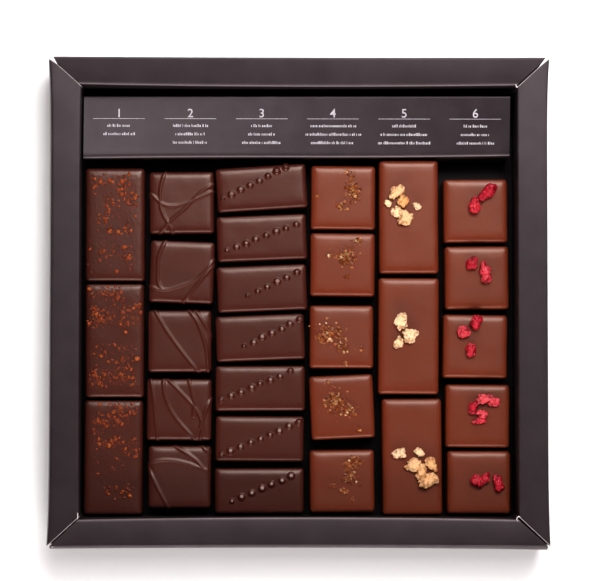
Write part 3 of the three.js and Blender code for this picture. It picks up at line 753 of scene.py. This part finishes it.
class StageSettings(bpy.types.PropertyGroup):
    """The table and the light."""
    table: StringProperty(name="Table", description="sRGB hex", default="#f9fbfb")
    softbox: FloatProperty(name="Softbox", description="Over the back of the box, in watts", default=0.34)
    window: FloatProperty(name="Window", description="High behind the box, in watts", default=5.7)
    low_window: FloatProperty(name="Low window", description="Low behind the box, in watts", default=2.4)
    front: FloatProperty(name="Front card", description="Low in front of the box, in watts", default=7.8)
    front_strip: FloatProperty(name="Front strip", description="Sheen on front edges, in watts", default=5.0)
    ambient: FloatProperty(name="Ambient", description="Strength of the surroundings", default=0.35)
    contrast: FloatProperty(name="Contrast", description="Power of the photograph's tone curve", default=1.3)


def folded_section(width, foot, top, radius, flat_points=8, wall_points=5, arc_points=6):
    """The outline of a folded wall, across and up: a flat foot, walls, and two quarter-circle folds."""
    parts = [
        np.column_stack([np.linspace(0, width, flat_points), np.full(flat_points, foot)]),
        np.column_stack([np.full(wall_points, width), np.linspace(foot, top - radius, wall_points + 2)[1:-1]]),
    ]
    arc = np.linspace(0, np.pi / 2, arc_points)
    parts.append(np.column_stack([width - radius + radius * np.cos(arc), top - radius + radius * np.sin(arc)]))
    across = np.linspace(width - radius, radius, flat_points + 2)[1:-1]
    parts.append(np.column_stack([across, np.full(flat_points, top)]))
    parts.append(np.column_stack([radius - radius * np.sin(arc), top - radius + radius * np.cos(arc)]))
    parts.append(np.column_stack([np.zeros(wall_points), np.linspace(top - radius, foot, wall_points + 2)[1:-1]]))
    return np.concatenate(parts)


# How far the glued flaps inside the front corners reach along the walls, in millimetres.
FLAP_LENGTH = 7.0
# How each rail departs from straight, in millimetres: how far its inner and outer fold lie outwards at its
# first end, its middle and its last end, with the power of the curve between them, how much higher its outer
# fold is than its inner one, how far its outer wall bulges at its first end and the share of that which goes
# on to the last, how strongly its inner fold is painted paler (partly wear, partly a painted highlight), and the
# width of the bare cut strip that shows along its mitres.
RAIL_FORMS = {
    "rail_back": {
        "inner": (0.75, -0.05, 0.65), "outer": (0.15, 0.0, 0.25), "lean": 1.1, "crown": 0.1, "wear_and_highlight": 1.0,
    },
    "rail_front": {
        "inner": (0.85, 0.0, 0.85), "outer": (0.0, -0.4, 0.0), "lean": 0.75, "twist": 0.15, "wear_and_highlight": 1.0,
        "bulge": 1.45, "steady": 0.65,
    },
    "rail_left": {
        "inner": (-0.6, -0.33, -0.75), "outer": (0.4, -0.45, 0.45), "power": 8, "crown": 0.1, "lean": 0.5,
        "twist": 0.6, "bulge": 0.7, "steady": 1.0, "bare_first": 0.06, "bare_last": 0.2,
    },
    "rail_right": {
        "inner": (-0.1, -0.1, -0.1), "outer": (1.27, 0.27, 0.92), "power": 8, "crown": 0.1,
        "bare_first": 0.16, "bare_last": 0.16,
    },
}
# Lines along which the card's cut edge curls up at the inner corners, over the rim.
CARD_CURLS = [
    (0.26, [(79.3, 79.2, 0.0), (79.4, 78.8, 0.2), (79.6, 78.4, 0.2), (80.0, 78.2, 0.1)]),
    (0.18, [(79.5, -79.9, 0.0), (79.0, -79.2, 0.2), (79.2, -78.5, 0.2), (79.8, -78.1, 0.2), (80.6, -78.5, 0.1)]),
    (0.17, [(-79.9, -79.2, 0.0), (-79.9, -78.4, 0.12), (-79.9, -77.4, 0.12), (-79.95, -76.6, 0.0)]),
    (0.2, [(-90.2, -87.4, -0.2), (-89.9, -88.4, 0.0), (-89.2, -89.0, 0.0), (-87.5, -89.1, -0.2)]),
]


def inner_section(section, thickness):
    """The section moved inwards by the card's thickness: each point is drawn towards the middle, the same
    way on every side."""
    low = section.min(axis=0)
    high = section.max(axis=0)
    middle = (low + high) / 2
    half = (high - low) / 2
    return middle + (section - middle) * (half - thickness) / half


def fold_marks(section, top, reach):
    """How near each point of the section is to its first top fold, from 0 to 1."""
    distance = np.linalg.norm(section - [0, top], axis=1)
    return np.exp(-((distance / reach) ** 2))


def bent_side(places, turn, power):
    """How far a wall's side lies outwards at turn, which runs from -1 to 1 along it: its value in the middle,
    changed towards the first or last one by a power of the distance from the middle."""
    first, middle, last = places
    return middle + (np.where(turn < 0, first, last) - middle) * np.abs(turn) ** power


def card_tube(name, section, ends, frame_axes, thickness, marks, form, materials, seed, stations=48):
    """A folded hollow wall of card: the section is carried from one end to the other, outside and then back
    inside, so that both cut ends are closed by a strip as wide as the card is thick. ends gives the two end
    places along the wall for each point across it. The wall's two sides bend in or out along it, its top is
    crowned by a parabola across it, leans and twists evenly, and all of it ripples slightly."""
    rng = np.random.default_rng(seed)
    start, along_axis, across_axis = (np.array(v, dtype=float) for v in frame_axes)
    width = np.ptp(section[:, 0])
    top = section[:, 1].max()
    first, last = ends(section[:, 0])
    length = (last - first).mean()
    bare = [form.get(side, 0.0) / length for side in ("bare_first", "bare_last")]
    middle = np.linspace(max(bare[0], 0.002), 1 - max(bare[1], 0.002), stations - 2)
    share = np.concatenate([[0], middle, [1]])
    skins = []
    for skin, shares in ((section, share), (inner_section(section, thickness), share[::-1])):
        first, last = ends(skin[:, 0])
        along = first + shares[:, None] * (last - first)
        side = skin[:, 0] / width
        turn = 2 * shares[:, None] - 1
        inner, outer = (bent_side(form.get(edge, (0, 0, 0)), turn, form.get("power", 2)) for edge in ("inner", "outer"))
        crowned = form.get("crown", 0.0) * (1 - (2 * side - 1) ** 2) + form.get("lean", 0.0) * (side - 0.5)
        twisted = form.get("twist", 0.0) * (side - 0.5) * turn
        ripple = 0.05 * waves(along, np.broadcast_to(skin[:, 0], along.shape), rng, 45.0)
        rise = np.clip(skin[:, 1] / top, 0, 1)
        height = skin[:, 1] + (ripple + crowned + twisted) * rise**4
        steady = form.get("steady", 0.0)
        bulge = form.get("bulge", 0.0) * (steady + (1 - steady) * (1 - shares[:, None]) ** 4)
        across = skin[:, 0] + (inner + (outer - inner) * side) * rise + bulge * side * np.sin(np.pi * rise**4)
        skins.append(
            start + along[..., None] * along_axis + across[..., None] * across_axis
            + height[..., None] * np.array([0, 0, 1.0])
        )
    points = np.concatenate(skins)
    rows, columns = points.shape[:2]
    faces = grid_faces(rows, columns, close_rows=True, close_columns=True)
    band = np.arange(rows)
    cut = (band == stations - 1) | (band == rows - 1)
    cut |= (band == 0) & (bare[0] > 0) | (band == stations - 2) & (bare[1] > 0)
    return make_piece(
        name, points.reshape(-1, 3), [faces], materials, np.repeat(cut.astype(int), columns),
        attributes={"fold": np.tile(marks, rows)},
    )


def bent_strip(line, radius, sides=6):
    """A thin round strip along a line of (x, y, z) points."""
    line = np.asarray(line, dtype=float)
    ahead = np.gradient(line, axis=0)
    ahead /= np.linalg.norm(ahead, axis=1, keepdims=True)
    aside = np.cross(ahead, [0, 0, 1.0])
    aside /= np.linalg.norm(aside, axis=1, keepdims=True)
    up = np.cross(aside, ahead)
    angle = np.linspace(0, 2 * np.pi, sides, endpoint=False)
    taper = np.minimum(1, 4 * np.minimum(np.linspace(0, 1, len(line)), np.linspace(1, 0, len(line))) + 0.3)
    ring = aside[:, None] * np.cos(angle)[:, None] + up[:, None] * np.sin(angle)[:, None]
    points = line[:, None] + ring * (radius * taper)[:, None, None]
    count = len(line)
    body = grid_faces(count, sides, close_columns=True)
    caps = np.stack([np.arange(sides)[::-1], (count - 1) * sides + np.arange(sides)])
    return points.reshape(-1, 3), [body[:, ::-1], caps[:, ::-1]]


class PRALINE_OT_stage(bpy.types.Operator):
    """Sets the table, the light and the camera"""
    bl_idname = "praline.stage"
    bl_label = "Table, light and camera"

    def area(self, name, place, target, size, watts, spread=180, sheen=True, diffuse=True):
        light = bpy.data.lights.new(name, "AREA")
        light.shape = "RECTANGLE"
        light.size, light.size_y = size
        light.energy = watts
        light.color = (1.0, 0.995, 0.99)
        light.spread = math.radians(spread)
        lamp = bpy.data.objects.new(name, light)
        lamp.location = place
        lamp.rotation_euler = (Vector(target) - Vector(place)).to_track_quat("-Z", "Y").to_euler()
        lamp.visible_camera = False
        lamp.visible_glossy = sheen
        lamp.visible_diffuse = diffuse
        bpy.context.scene.collection.objects.link(lamp)

    def execute(self, context):
        scene = context.scene
        stage = scene.praline_stage
        reach = 1500.0
        line = np.linspace(-reach, reach, 9)
        x, y = np.meshgrid(line, line)
        points = np.stack([x, y, np.zeros_like(x)], axis=-1).reshape(-1, 3)
        table = make_piece("table_top", points, [grid_faces(9, 9)], [matt_board("White laminate", stage.table)])

        # A polarised softbox over the back of the box gives soft short shadows without a sheen. The window
        # behind the box gives the sheen, and a white card in front of it draws the thin bright front edges.
        self.area("softbox", (0.14, 0.24, 0.8), (0.02, 0.12, 0), (0.34, 0.34), stage.softbox, 50, sheen=False)
        self.area("window", (0.12, 0.44, 0.77), (0, 0, 0), (0.5, 0.3), stage.window)
        self.area("low_window", (0.12, 0.6, 0.3), (0, 0, 0), (0.8, 0.3), stage.low_window, diffuse=False)
        self.area("front_card", (-0.05, -0.8, 0.35), (0, 0, 0), (0.9, 0.3), stage.front, sheen=False)
        self.area("front_strip", (0.05, -0.8, 0.38), (0, 0, 0), (0.9, 0.25), stage.front_strip, diffuse=False)

        world = bpy.data.worlds.new("Studio")
        world.use_nodes = True
        background = world.node_tree.nodes["Background"]
        background.inputs["Color"].default_value = (1.0, 0.8, 0.82, 1)
        background.inputs["Strength"].default_value = stage.ambient
        world.cycles_visibility.glossy = False
        scene.world = world
        scene.view_settings.view_transform = "Standard"
        scene.view_settings.look = "None"
        scene.view_settings.gamma = 1 / stage.contrast

        camera = bpy.data.objects.new("camera", bpy.data.cameras.new("camera"))
        camera.data.sensor_width = SENSOR_MM
        camera.data.lens = FOCAL_PX * SENSOR_MM / FRAME_WIDTH_PX
        camera.data.clip_start = 0.01
        camera.location = Vector(CAMERA_PLACE) * MM
        camera.rotation_euler = Euler([math.radians(a) for a in CAMERA_TILT_DEG])
        scene.collection.objects.link(camera)
        scene.camera = camera
        return {"FINISHED"}


class PRALINE_OT_card_box(bpy.types.Operator):
    """Folds the four card rails and dresses the floor panel"""
    bl_idname = "praline.card_box"
    bl_label = "Card box"

    def execute(self, context):
        card = context.scene.praline_card
        face = black_card("Black dyed board", card.face, card.fold)
        cut = cut_card("Cut board edge", card.face, card.core)
        tips = {
            "rail_back": (INNER_X, ((0, INNER_Y, 0), (1, 0, 0), (0, 1, 0)), "back_left", "back_right"),
            "rail_front": (INNER_X, ((0, -INNER_Y, 0), (-1, 0, 0), (0, -1, 0)), "front_right", "front_left"),
            "rail_left": (INNER_Y, ((-INNER_X, 0, 0), (0, 1, 0), (-1, 0, 0)), "front_left", "back_left"),
            "rail_right": (INNER_Y, ((INNER_X, 0, 0), (0, -1, 0), (1, 0, 0)), "back_right", "front_right"),
        }
        section = folded_section(RAIL_WIDTH, 0.0, RIM, card.fold_radius, flat_points=14, wall_points=9)
        # The fold marks paint the inner fold paler: partly wear, partly a painted highlight.
        marks = fold_marks(section, RIM, card.fold_reach)
        for number, (node, (half, axes, first, last)) in enumerate(tips.items()):

            def ends(across, half=half, first=first, last=last):
                share = across / RAIL_WIDTH
                widths = [width + wider * share + notch * share**6 for width, wider, notch in map(SEAMS.get, (first, last))]
                return -(half + across - widths[0] / 2), half + across - widths[1] / 2

            form = {"crown": card.crown, **RAIL_FORMS[node]}
            piece = card_tube(
                "folded_" + node, section, ends, axes, card.thickness, form.pop("wear_and_highlight", 0.0) * marks, form,
                [face, cut], 40 + number,
            )
            place_piece(piece, [node])
        # Behind each seam at the front, a glued flap of the card goes round the corner inside the walls.
        flaps = []
        for side in (-1, 1):
            reach = [FLAP_LENGTH, 0, 0, card.thickness, card.thickness, FLAP_LENGTH]
            rise = [0, 0, FLAP_LENGTH, FLAP_LENGTH, card.thickness, card.thickness]
            x = side * (OUTER_X - 1.3 * card.thickness - np.array(reach))
            y = -OUTER_Y + 1.3 * card.thickness + np.array(rise)
            points = np.array([(x[i], y[i], z) for z in (0.2, RIM - 1.2) for i in range(6)])
            walls = np.array([[i, (i + 1) % 6, (i + 1) % 6 + 6, i + 6] for i in range(6)])
            caps = np.array([[5, 4, 1, 0], [4, 3, 2, 1], [6, 7, 10, 11], [7, 8, 9, 10]])
            quads = np.concatenate([walls, caps])
            flaps.append((points, [quads if side > 0 else quads[:, ::-1]]))
        points, faces = join_shapes(flaps)
        place_piece(make_piece("corner_flaps", points, faces, [face], smooth=False))
        strips = [bent_strip([(x, y, RIM + z) for x, y, z in line], radius) for radius, line in CARD_CURLS]
        points, faces = join_shapes(strips)
        torn = cut_card("Torn board edge", card.face, "#f2eeee")
        place_piece(make_piece("lifted_edges", points, faces, [torn]))
        # The floor and the walls are one folded sheet, so the floor runs up to the walls without a gap.
        low, high = node_box("floor_panel")
        x, y, z = np.meshgrid((-INNER_X, INNER_X), (-INNER_Y, INNER_Y), (low[2], high[2]), indexing="ij")
        points = np.stack([x, y, z], axis=-1).reshape(-1, 3)
        sides = np.array([[0, 2, 6, 4], [1, 5, 7, 3], [0, 4, 5, 1], [2, 3, 7, 6], [0, 1, 3, 2], [4, 6, 7, 5]])
        # Painted shade: the floor is the walls' board, given a far darker colour and less gloss because it lies in
        # shade between the chocolates.
        board = black_card("Black dyed board, floor in painted shade", card.floor_painted_shade, card.floor_painted_shade, 0.3)
        place_piece(make_piece("tray_floor", points, [sides], [board]), ["floor_panel"])
        return {"FINISHED"}


class PRALINE_OT_label_bar(bpy.types.Operator):
    """Folds the label bar and prints plain numerals, rules and dashes on it"""
    bl_idname = "praline.label_bar"
    bl_label = "Label bar"

    def numeral(self, text, height, centre):
        """A numeral's flat mesh, with its middle at a place of the label."""
        curve = bpy.data.curves.new("numeral", "FONT")
        curve.body = text
        curve.size = height * MM * 1.4
        curve.align_x = "CENTER"
        curve.align_y = "CENTER"
        curve.offset = 0.04 * MM
        curve.extrude = 0.00001
        source = bpy.data.objects.new("numeral", curve)
        bpy.context.scene.collection.objects.link(source)
        bpy.context.view_layer.update()
        evaluated = source.evaluated_get(bpy.context.evaluated_depsgraph_get())
        mesh = bpy.data.meshes.new_from_object(evaluated)
        bpy.data.objects.remove(source)
        mesh.transform(Matrix.Translation((centre[0] * MM, centre[1] * MM, 0)))
        points = np.empty(3 * len(mesh.vertices))
        mesh.vertices.foreach_get("co", points)
        polygons = [np.array(polygon.vertices)[None, :] for polygon in mesh.polygons]
        return points.reshape(-1, 3) / MM, polygons

    def stroke(self, left, right, y, width):
        """A flat mark from left to right."""
        x_line = np.array([left, right, right, left] * 2)
        y_line = np.array([y - width / 2, y - width / 2, y + width / 2, y + width / 2] * 2)
        z_line = np.repeat([-0.01, 0.01], 4)
        faces = np.array([[3, 2, 1, 0], [4, 5, 6, 7], [0, 1, 5, 4], [1, 2, 6, 5], [2, 3, 7, 6], [3, 0, 4, 7]])
        return np.column_stack([x_line, y_line, z_line]), [faces]

    def execute(self, context):
        card = context.scene.praline_card
        label = context.scene.praline_label
        low, high = node_box("label_bar")
        middle = (low + high) / 2
        depth = high[1] - low[1]
        half = (high[0] - low[0]) / 2
        face = black_card("Black dyed board, label", card.face, card.fold)
        cut = cut_card("Cut board edge, label", card.face, card.core)
        section = folded_section(depth, low[2], high[2], card.fold_radius, flat_points=40)
        # A crease runs along the top near the front, and the strip before it slopes down a little.
        crease = 1.1
        drop = 0.3
        on_top = section[:, 1] > high[2] - card.fold_radius - 0.01
        slope = np.clip(1 - section[:, 0] / crease, 0, 1) * drop
        section[:, 1] -= np.where(on_top, slope, 0)
        # The fold marks paint the front fold and crease paler: partly wear, partly a painted highlight.
        marks = fold_marks(section, high[2] - drop, card.fold_reach)
        axes = ((middle[0], low[1], 0), (1, 0, 0), (0, 1, 0))
        piece = card_tube(
            "folded_label_bar", section, lambda across: (np.full_like(across, -half), np.full_like(across, half)),
            axes, card.thickness, marks,
            {"twist": card.twist, "lean": card.label_lean, "inner": (-0.6, 0.1, 0.95)}, [face, cut], 51,
        )
        place_piece(piece, ["label_bar"])

        ink = printed_ink("Matt white ink", label.ink)
        rng = np.random.default_rng(52)
        first = middle[0] - 2.5 * label.pitch + label.shift
        strokes = []
        numerals = []
        for column, widths in enumerate(LABEL_LINES):
            centre = first + column * label.pitch
            numerals.append(self.numeral(str(column + 1), label.numeral, (centre, label.heading)))
            strokes.append(self.stroke(centre - label.rule / 2, centre + label.rule / 2, label.under, 0.2))
            for line, reach in enumerate(widths):
                place = centre - reach / 2
                y = label.text - label.leading * line
                while place < centre + reach / 2 - 0.2:
                    stop = place + rng.choice([0.22, 0.3, 0.5])
                    tall = rng.random() < 0.25
                    strokes.append(self.stroke(place, stop, y + 0.15 * tall, 1.1 if tall else 0.75))
                    place = stop + (0.55 if rng.random() < 0.15 else 0.2)
        points, faces = join_shapes(strokes)
        groups = list(faces)
        for numeral_points, polygons in numerals:
            groups += [polygon + len(points) for polygon in polygons]
            points = np.concatenate([points, numeral_points])
        across = (points[:, 1] - middle[1]) / depth
        rise = card.label_lean + card.twist * (points[:, 0] - middle[0]) / half
        points[:, 2] += high[2] + 0.09 + rise * across
        place_piece(make_piece("label_print", points, groups, [ink], smooth=False))
        return {"FINISHED"}


class PRALINE_OT_flake_bars(bpy.types.Operator):
    """Builds the three dark bars and the orange flakes on them"""
    bl_idname = "praline.flake_bars"
    bl_label = "Flake bars"

    def execute(self, context):
        coat = context.scene.praline_coat
        dark = couverture("Dark couverture", coat.dark, coat.dark_deep, 0.95)
        shapes = []
        for number, (turn, clusters) in enumerate(FLAKE_BARS, 1):
            node = f"flake_bar_{number}"
            bumps = np.random.default_rng(140 + number)

            def relief(x, y, bumps=bumps):
                """Flakes under the coat: small crossing waves, of which only the crests rise."""
                return 0.1 * np.clip(waves(x, y, bumps, 2.2, 9) - 0.15, 0, None)

            coated_chocolate(
                f"dark_long_bar_{number}", node, turn, 0.35, [dark], 100 + number, relief
            )
            rng = np.random.default_rng(120 + number)
            crumbs = [((x, y), 0.9 * size, rng.uniform(0.5, 0.95)) for x, y, size in LARGE_FLAKES[number - 1]]
            for middle, spread, count in clusters:
                for i in range(int(6.5 * count)):
                    spot = np.array(middle) + rng.uniform(-1, 1, 2) * np.array(spread) + rng.normal(0, 0.7, 2)
                    small = i >= 1.4 * count
                    size = rng.uniform(0.25, 0.6) if small else rng.uniform(0.75, 1.5)
                    tone = rng.uniform(0.1, 0.7) if small else rng.uniform(0.25, 0.85)
                    crumbs.append((np.clip(spot, (-9.9, -19.8), (9.9, 19.8)), size, tone))
            for spot, size, tone in crumbs:
                place = spread_over(node, turn, spot)[0]
                points, faces = soft_flake(rng, size)
                points = points @ random_turn(rng, 0.1).T + place + [0, 0, 0.08 * size]
                shapes.append((points, faces, np.zeros(len(points)), tone))
        topping = context.scene.praline_topping
        stops = [(0.0, "#4e2418"), (0.4, "#753619"), (0.75, topping.flake), (1.0, "#ae6022")]
        flakes = lumpy_topping("Candied orange peel", "#7a3010", stops, 0.5, 0.2, 0.8)
        points, faces, marks = join_lumps(shapes)
        place_piece(make_piece("orange_flakes", points, faces, [flakes], attributes=marks))
        return {"FINISHED"}


class PRALINE_OT_ridged_squares(bpy.types.Operator):
    """Builds the five dark squares with drawn ridges"""
    bl_idname = "praline.ridged_squares"
    bl_label = "Ridged squares"

    def execute(self, context):
        coat = context.scene.praline_coat
        dark = couverture("Dark couverture, ridged", coat.dark, coat.dark_deep, 0.95)
        for number, (turn, curves) in enumerate(RIDGED_SQUARES, 1):
            lines = [smooth_curve(curve) for curve in curves]

            def relief(x, y, lines=lines):
                """The highest of the ridges: h (1 - (d / w) squared) squared at distance d from a line."""
                total = np.zeros_like(x)
                for line in lines:
                    distance, _ = nearest(x, y, line)
                    bell = np.clip(1 - (distance / coat.ridge_width) ** 2, 0, None) ** 2
                    total = np.maximum(total, coat.ridge_height * bell)
                return total

            coated_chocolate(
                f"dark_ridged_square_{number}", f"ridged_square_{number}", turn, 0.26, [dark],
                200 + number, relief,
            )
        return {"FINISHED"}


class PRALINE_OT_dotted_bars(bpy.types.Operator):
    """Builds the seven dark bars with a row of dots"""
    bl_idname = "praline.dotted_bars"
    bl_label = "Dotted bars"

    def execute(self, context):
        coat = context.scene.praline_coat
        dark = couverture("Dark couverture, dotted", coat.dark, coat.dark_deep, 0.88)
        for number, (turn, start, end, count) in enumerate(DOTTED_BARS, 1):
            rng = np.random.default_rng(320 + number)
            share = np.linspace(0, 1, count)[:, None]
            spots = np.array(start) + share * (np.array(end) - np.array(start)) + rng.normal(0, 0.12, (count, 2))
            sizes = coat.dot_radius * rng.uniform(0.85, 1.12, count)
            sizes[0] *= 0.7
            cuts = rng.uniform(0.8, 0.92, count)

            def relief(x, y, spots=spots, sizes=sizes, cuts=cuts):
                """Piped drops: domes of height h (1 - distance squared / radius squared), cut off on top by a
                plane that slopes down towards the back."""
                total = np.zeros_like(x)
                for (spot_x, spot_y), size, cut in zip(spots, sizes, cuts):
                    away_x = x - spot_x
                    away_y = y - spot_y
                    dome = coat.dot_height * (1 - (away_x**2 + away_y**2) / size**2)
                    facet = cut * coat.dot_height - 0.3 * away_y - 0.05 * away_x
                    total = np.maximum(total, np.clip(np.minimum(dome, facet), 0, None))
                return total

            coated_chocolate(
                f"dark_dotted_bar_{number}", f"dotted_bar_{number}", turn, 0.2, [dark],
                300 + number, relief,
            )
        return {"FINISHED"}


class PRALINE_OT_crystal_squares(bpy.types.Operator):
    """Builds the five milk squares and the sugar crystals on them"""
    bl_idname = "praline.crystal_squares"
    bl_label = "Crystal squares"

    def execute(self, context):
        coat = context.scene.praline_coat
        milk = couverture("Milk couverture", coat.milk, coat.milk_deep, 0.82)
        shapes = []
        for number, (turn, clusters) in enumerate(CRYSTAL_SQUARES, 1):
            node = f"crystal_square_{number}"
            coated_chocolate(f"milk_crystal_square_{number}", node, turn, 0.4, [milk], 400 + number, None)
            rng = np.random.default_rng(420 + number)
            for middle, spread, count in clusters:
                for i in range(int(1.5 * count)):
                    size = rng.uniform(0.8, 1.35) if i < 0.4 * count else rng.uniform(0.35, 0.8)
                    spot = np.array(middle) + rng.normal(0, 0.5, 2) * np.array(spread)
                    place = spread_over(node, turn, spot)[0]
                    points, faces = sugar_grain(rng, size)
                    points = points @ random_turn(rng, 0.8).T + place + [0, 0, 0.22 * size]
                    shapes.append((points, faces, np.zeros(len(points)), rng.uniform(0, 1)))
        topping = context.scene.praline_topping
        # The last stop paints a few grains pale: partly paler sugar, partly a painted glint.
        stops = [(0.0, "#78401f"), (0.55, topping.sugar), (0.94, "#bb8a5e"), (0.995, "#e8ccaa")]
        sugar = brittle_sugar("Broken caramel", stops)
        points, faces, marks = join_lumps(shapes)
        place_piece(make_piece("sugar_crystals", points, faces, [sugar], smooth=False, attributes=marks))
        return {"FINISHED"}


class PRALINE_OT_nut_bars(bpy.types.Operator):
    """Builds the three long milk bars and the chopped nut on them"""
    bl_idname = "praline.nut_bars"
    bl_label = "Nut bars"

    def execute(self, context):
        coat = context.scene.praline_coat
        milk = couverture("Milk couverture, nut bars", coat.milk, coat.milk_deep, 0.82)
        shapes = []
        for number, (turn, chunks) in enumerate(NUT_BARS, 1):
            node = f"nut_bar_{number}"
            coated_chocolate(f"milk_long_bar_{number}", node, turn, 0.4, [milk], 500 + number, None)
            rng = np.random.default_rng(520 + number)
            for spot, (long, wide), spin in chunks:
                place = spread_over(node, turn, spot)[0]
                thick = 0.8 * wide
                points, faces, crevice_shade = lobed_lump(rng, (1.25 * long, 1.2 * wide, thick), 6, 1.1, 0.07)
                tilt = Euler((rng.normal(0, 0.15), rng.normal(0, 0.15), math.radians(spin)))
                points = points @ np.array(tilt.to_matrix()).T + place + [0, 0, 0.3 * thick]
                shapes.append((points, faces, crevice_shade, 0.95 if long < 4.7 or number == 2 else rng.uniform(0.35, 0.75)))
        topping = context.scene.praline_topping
        stops = [(0.0, "#b0733a"), (0.4, topping.nut), (1.0, "#e8cfac")]
        # The deep colour is painted shade in the crevices between the lobes.
        nut = lumpy_topping("Roasted almond", "#96592a", stops, 0.6, 0.2, 1.8, depth=0.55)
        points, faces, marks = join_lumps(shapes)
        place_piece(make_piece("chopped_nut", points, faces, [nut], attributes=marks))
        return {"FINISHED"}


class PRALINE_OT_berry_squares(bpy.types.Operator):
    """Builds the five milk squares and the dried berry on them"""
    bl_idname = "praline.berry_squares"
    bl_label = "Berry squares"

    def execute(self, context):
        coat = context.scene.praline_coat
        milk = couverture("Milk couverture, berry squares", coat.milk, coat.milk_deep, 0.82)
        shapes = []
        for number, (turn, crumbs) in enumerate(BERRY_SQUARES, 1):
            node = f"berry_square_{number}"
            coated_chocolate(f"milk_berry_square_{number}", node, turn, 0.4, [milk], 600 + number, None)
            rng = np.random.default_rng(620 + number)
            for spot, (long, wide), spin in crumbs:
                place = spread_over(node, turn, spot)[0]
                wide = 1.2 * wide
                points, faces, crevice_shade = lobed_lump(rng, (1.22 * long, 1.1 * wide, 0.8 * wide), 5, 1.1, 0.03)
                tilt = Euler((rng.normal(0, 0.1), rng.normal(0, 0.1), math.radians(spin + turn)))
                points = points @ np.array(tilt.to_matrix()).T + place + [0, 0, 0.32 * wide]
                shapes.append((points, faces, crevice_shade, rng.uniform(0.3, 0.75)))
        topping = context.scene.praline_topping
        stops = [(0.1, "#93172a"), (0.5, topping.berry), (0.95, "#e07a7c")]
        # The deep colour is painted shade in the crevices between the lobes.
        berry = lumpy_topping("Freeze-dried berry", "#640712", stops, 0.36, 0.15, 0.9, depth=0.68)
        points, faces, marks = join_lumps(shapes)
        place_piece(make_piece("dried_berry", points, faces, [berry], attributes=marks))
        return {"FINISHED"}


class PRALINE_PT_panel(bpy.types.Panel):
    """Lists the steps that build the box, in order"""
    bl_idname = "PRALINE_PT_panel"
    bl_label = "Box of pralines"
    bl_space_type = "VIEW_3D"
    bl_region_type = "UI"
    bl_category = "Pralines"

    def draw(self, context):
        for operator in OPERATORS:
            self.layout.operator(operator.bl_idname)
        for group in GROUPS:
            box = self.layout.box()
            for name in group.__annotations__:
                box.prop(getattr(context.scene, GROUPS[group]), name)


GROUPS = {
    CardSettings: "praline_card",
    LabelSettings: "praline_label",
    CoatSettings: "praline_coat",
    ToppingSettings: "praline_topping",
    StageSettings: "praline_stage",
}
OPERATORS = (
    PRALINE_OT_stage,
    PRALINE_OT_card_box,
    PRALINE_OT_label_bar,
    PRALINE_OT_flake_bars,
    PRALINE_OT_ridged_squares,
    PRALINE_OT_dotted_bars,
    PRALINE_OT_crystal_squares,
    PRALINE_OT_nut_bars,
    PRALINE_OT_berry_squares,
)


def register():
    for cls in (*GROUPS, *OPERATORS, PRALINE_PT_panel):
        bpy.utils.register_class(cls)
    for group, name in GROUPS.items():
        setattr(bpy.types.Scene, name, PointerProperty(type=group))


def unregister():
    for name in GROUPS.values():
        delattr(bpy.types.Scene, name)
    for cls in reversed((*GROUPS, *OPERATORS, PRALINE_PT_panel)):
        bpy.utils.unregister_class(cls)


def main():
    register()
    for step in OPERATORS:
        family, name = step.bl_idname.split(".")
        getattr(getattr(bpy.ops, family), name)()


if __name__ == "__main__":
    main()
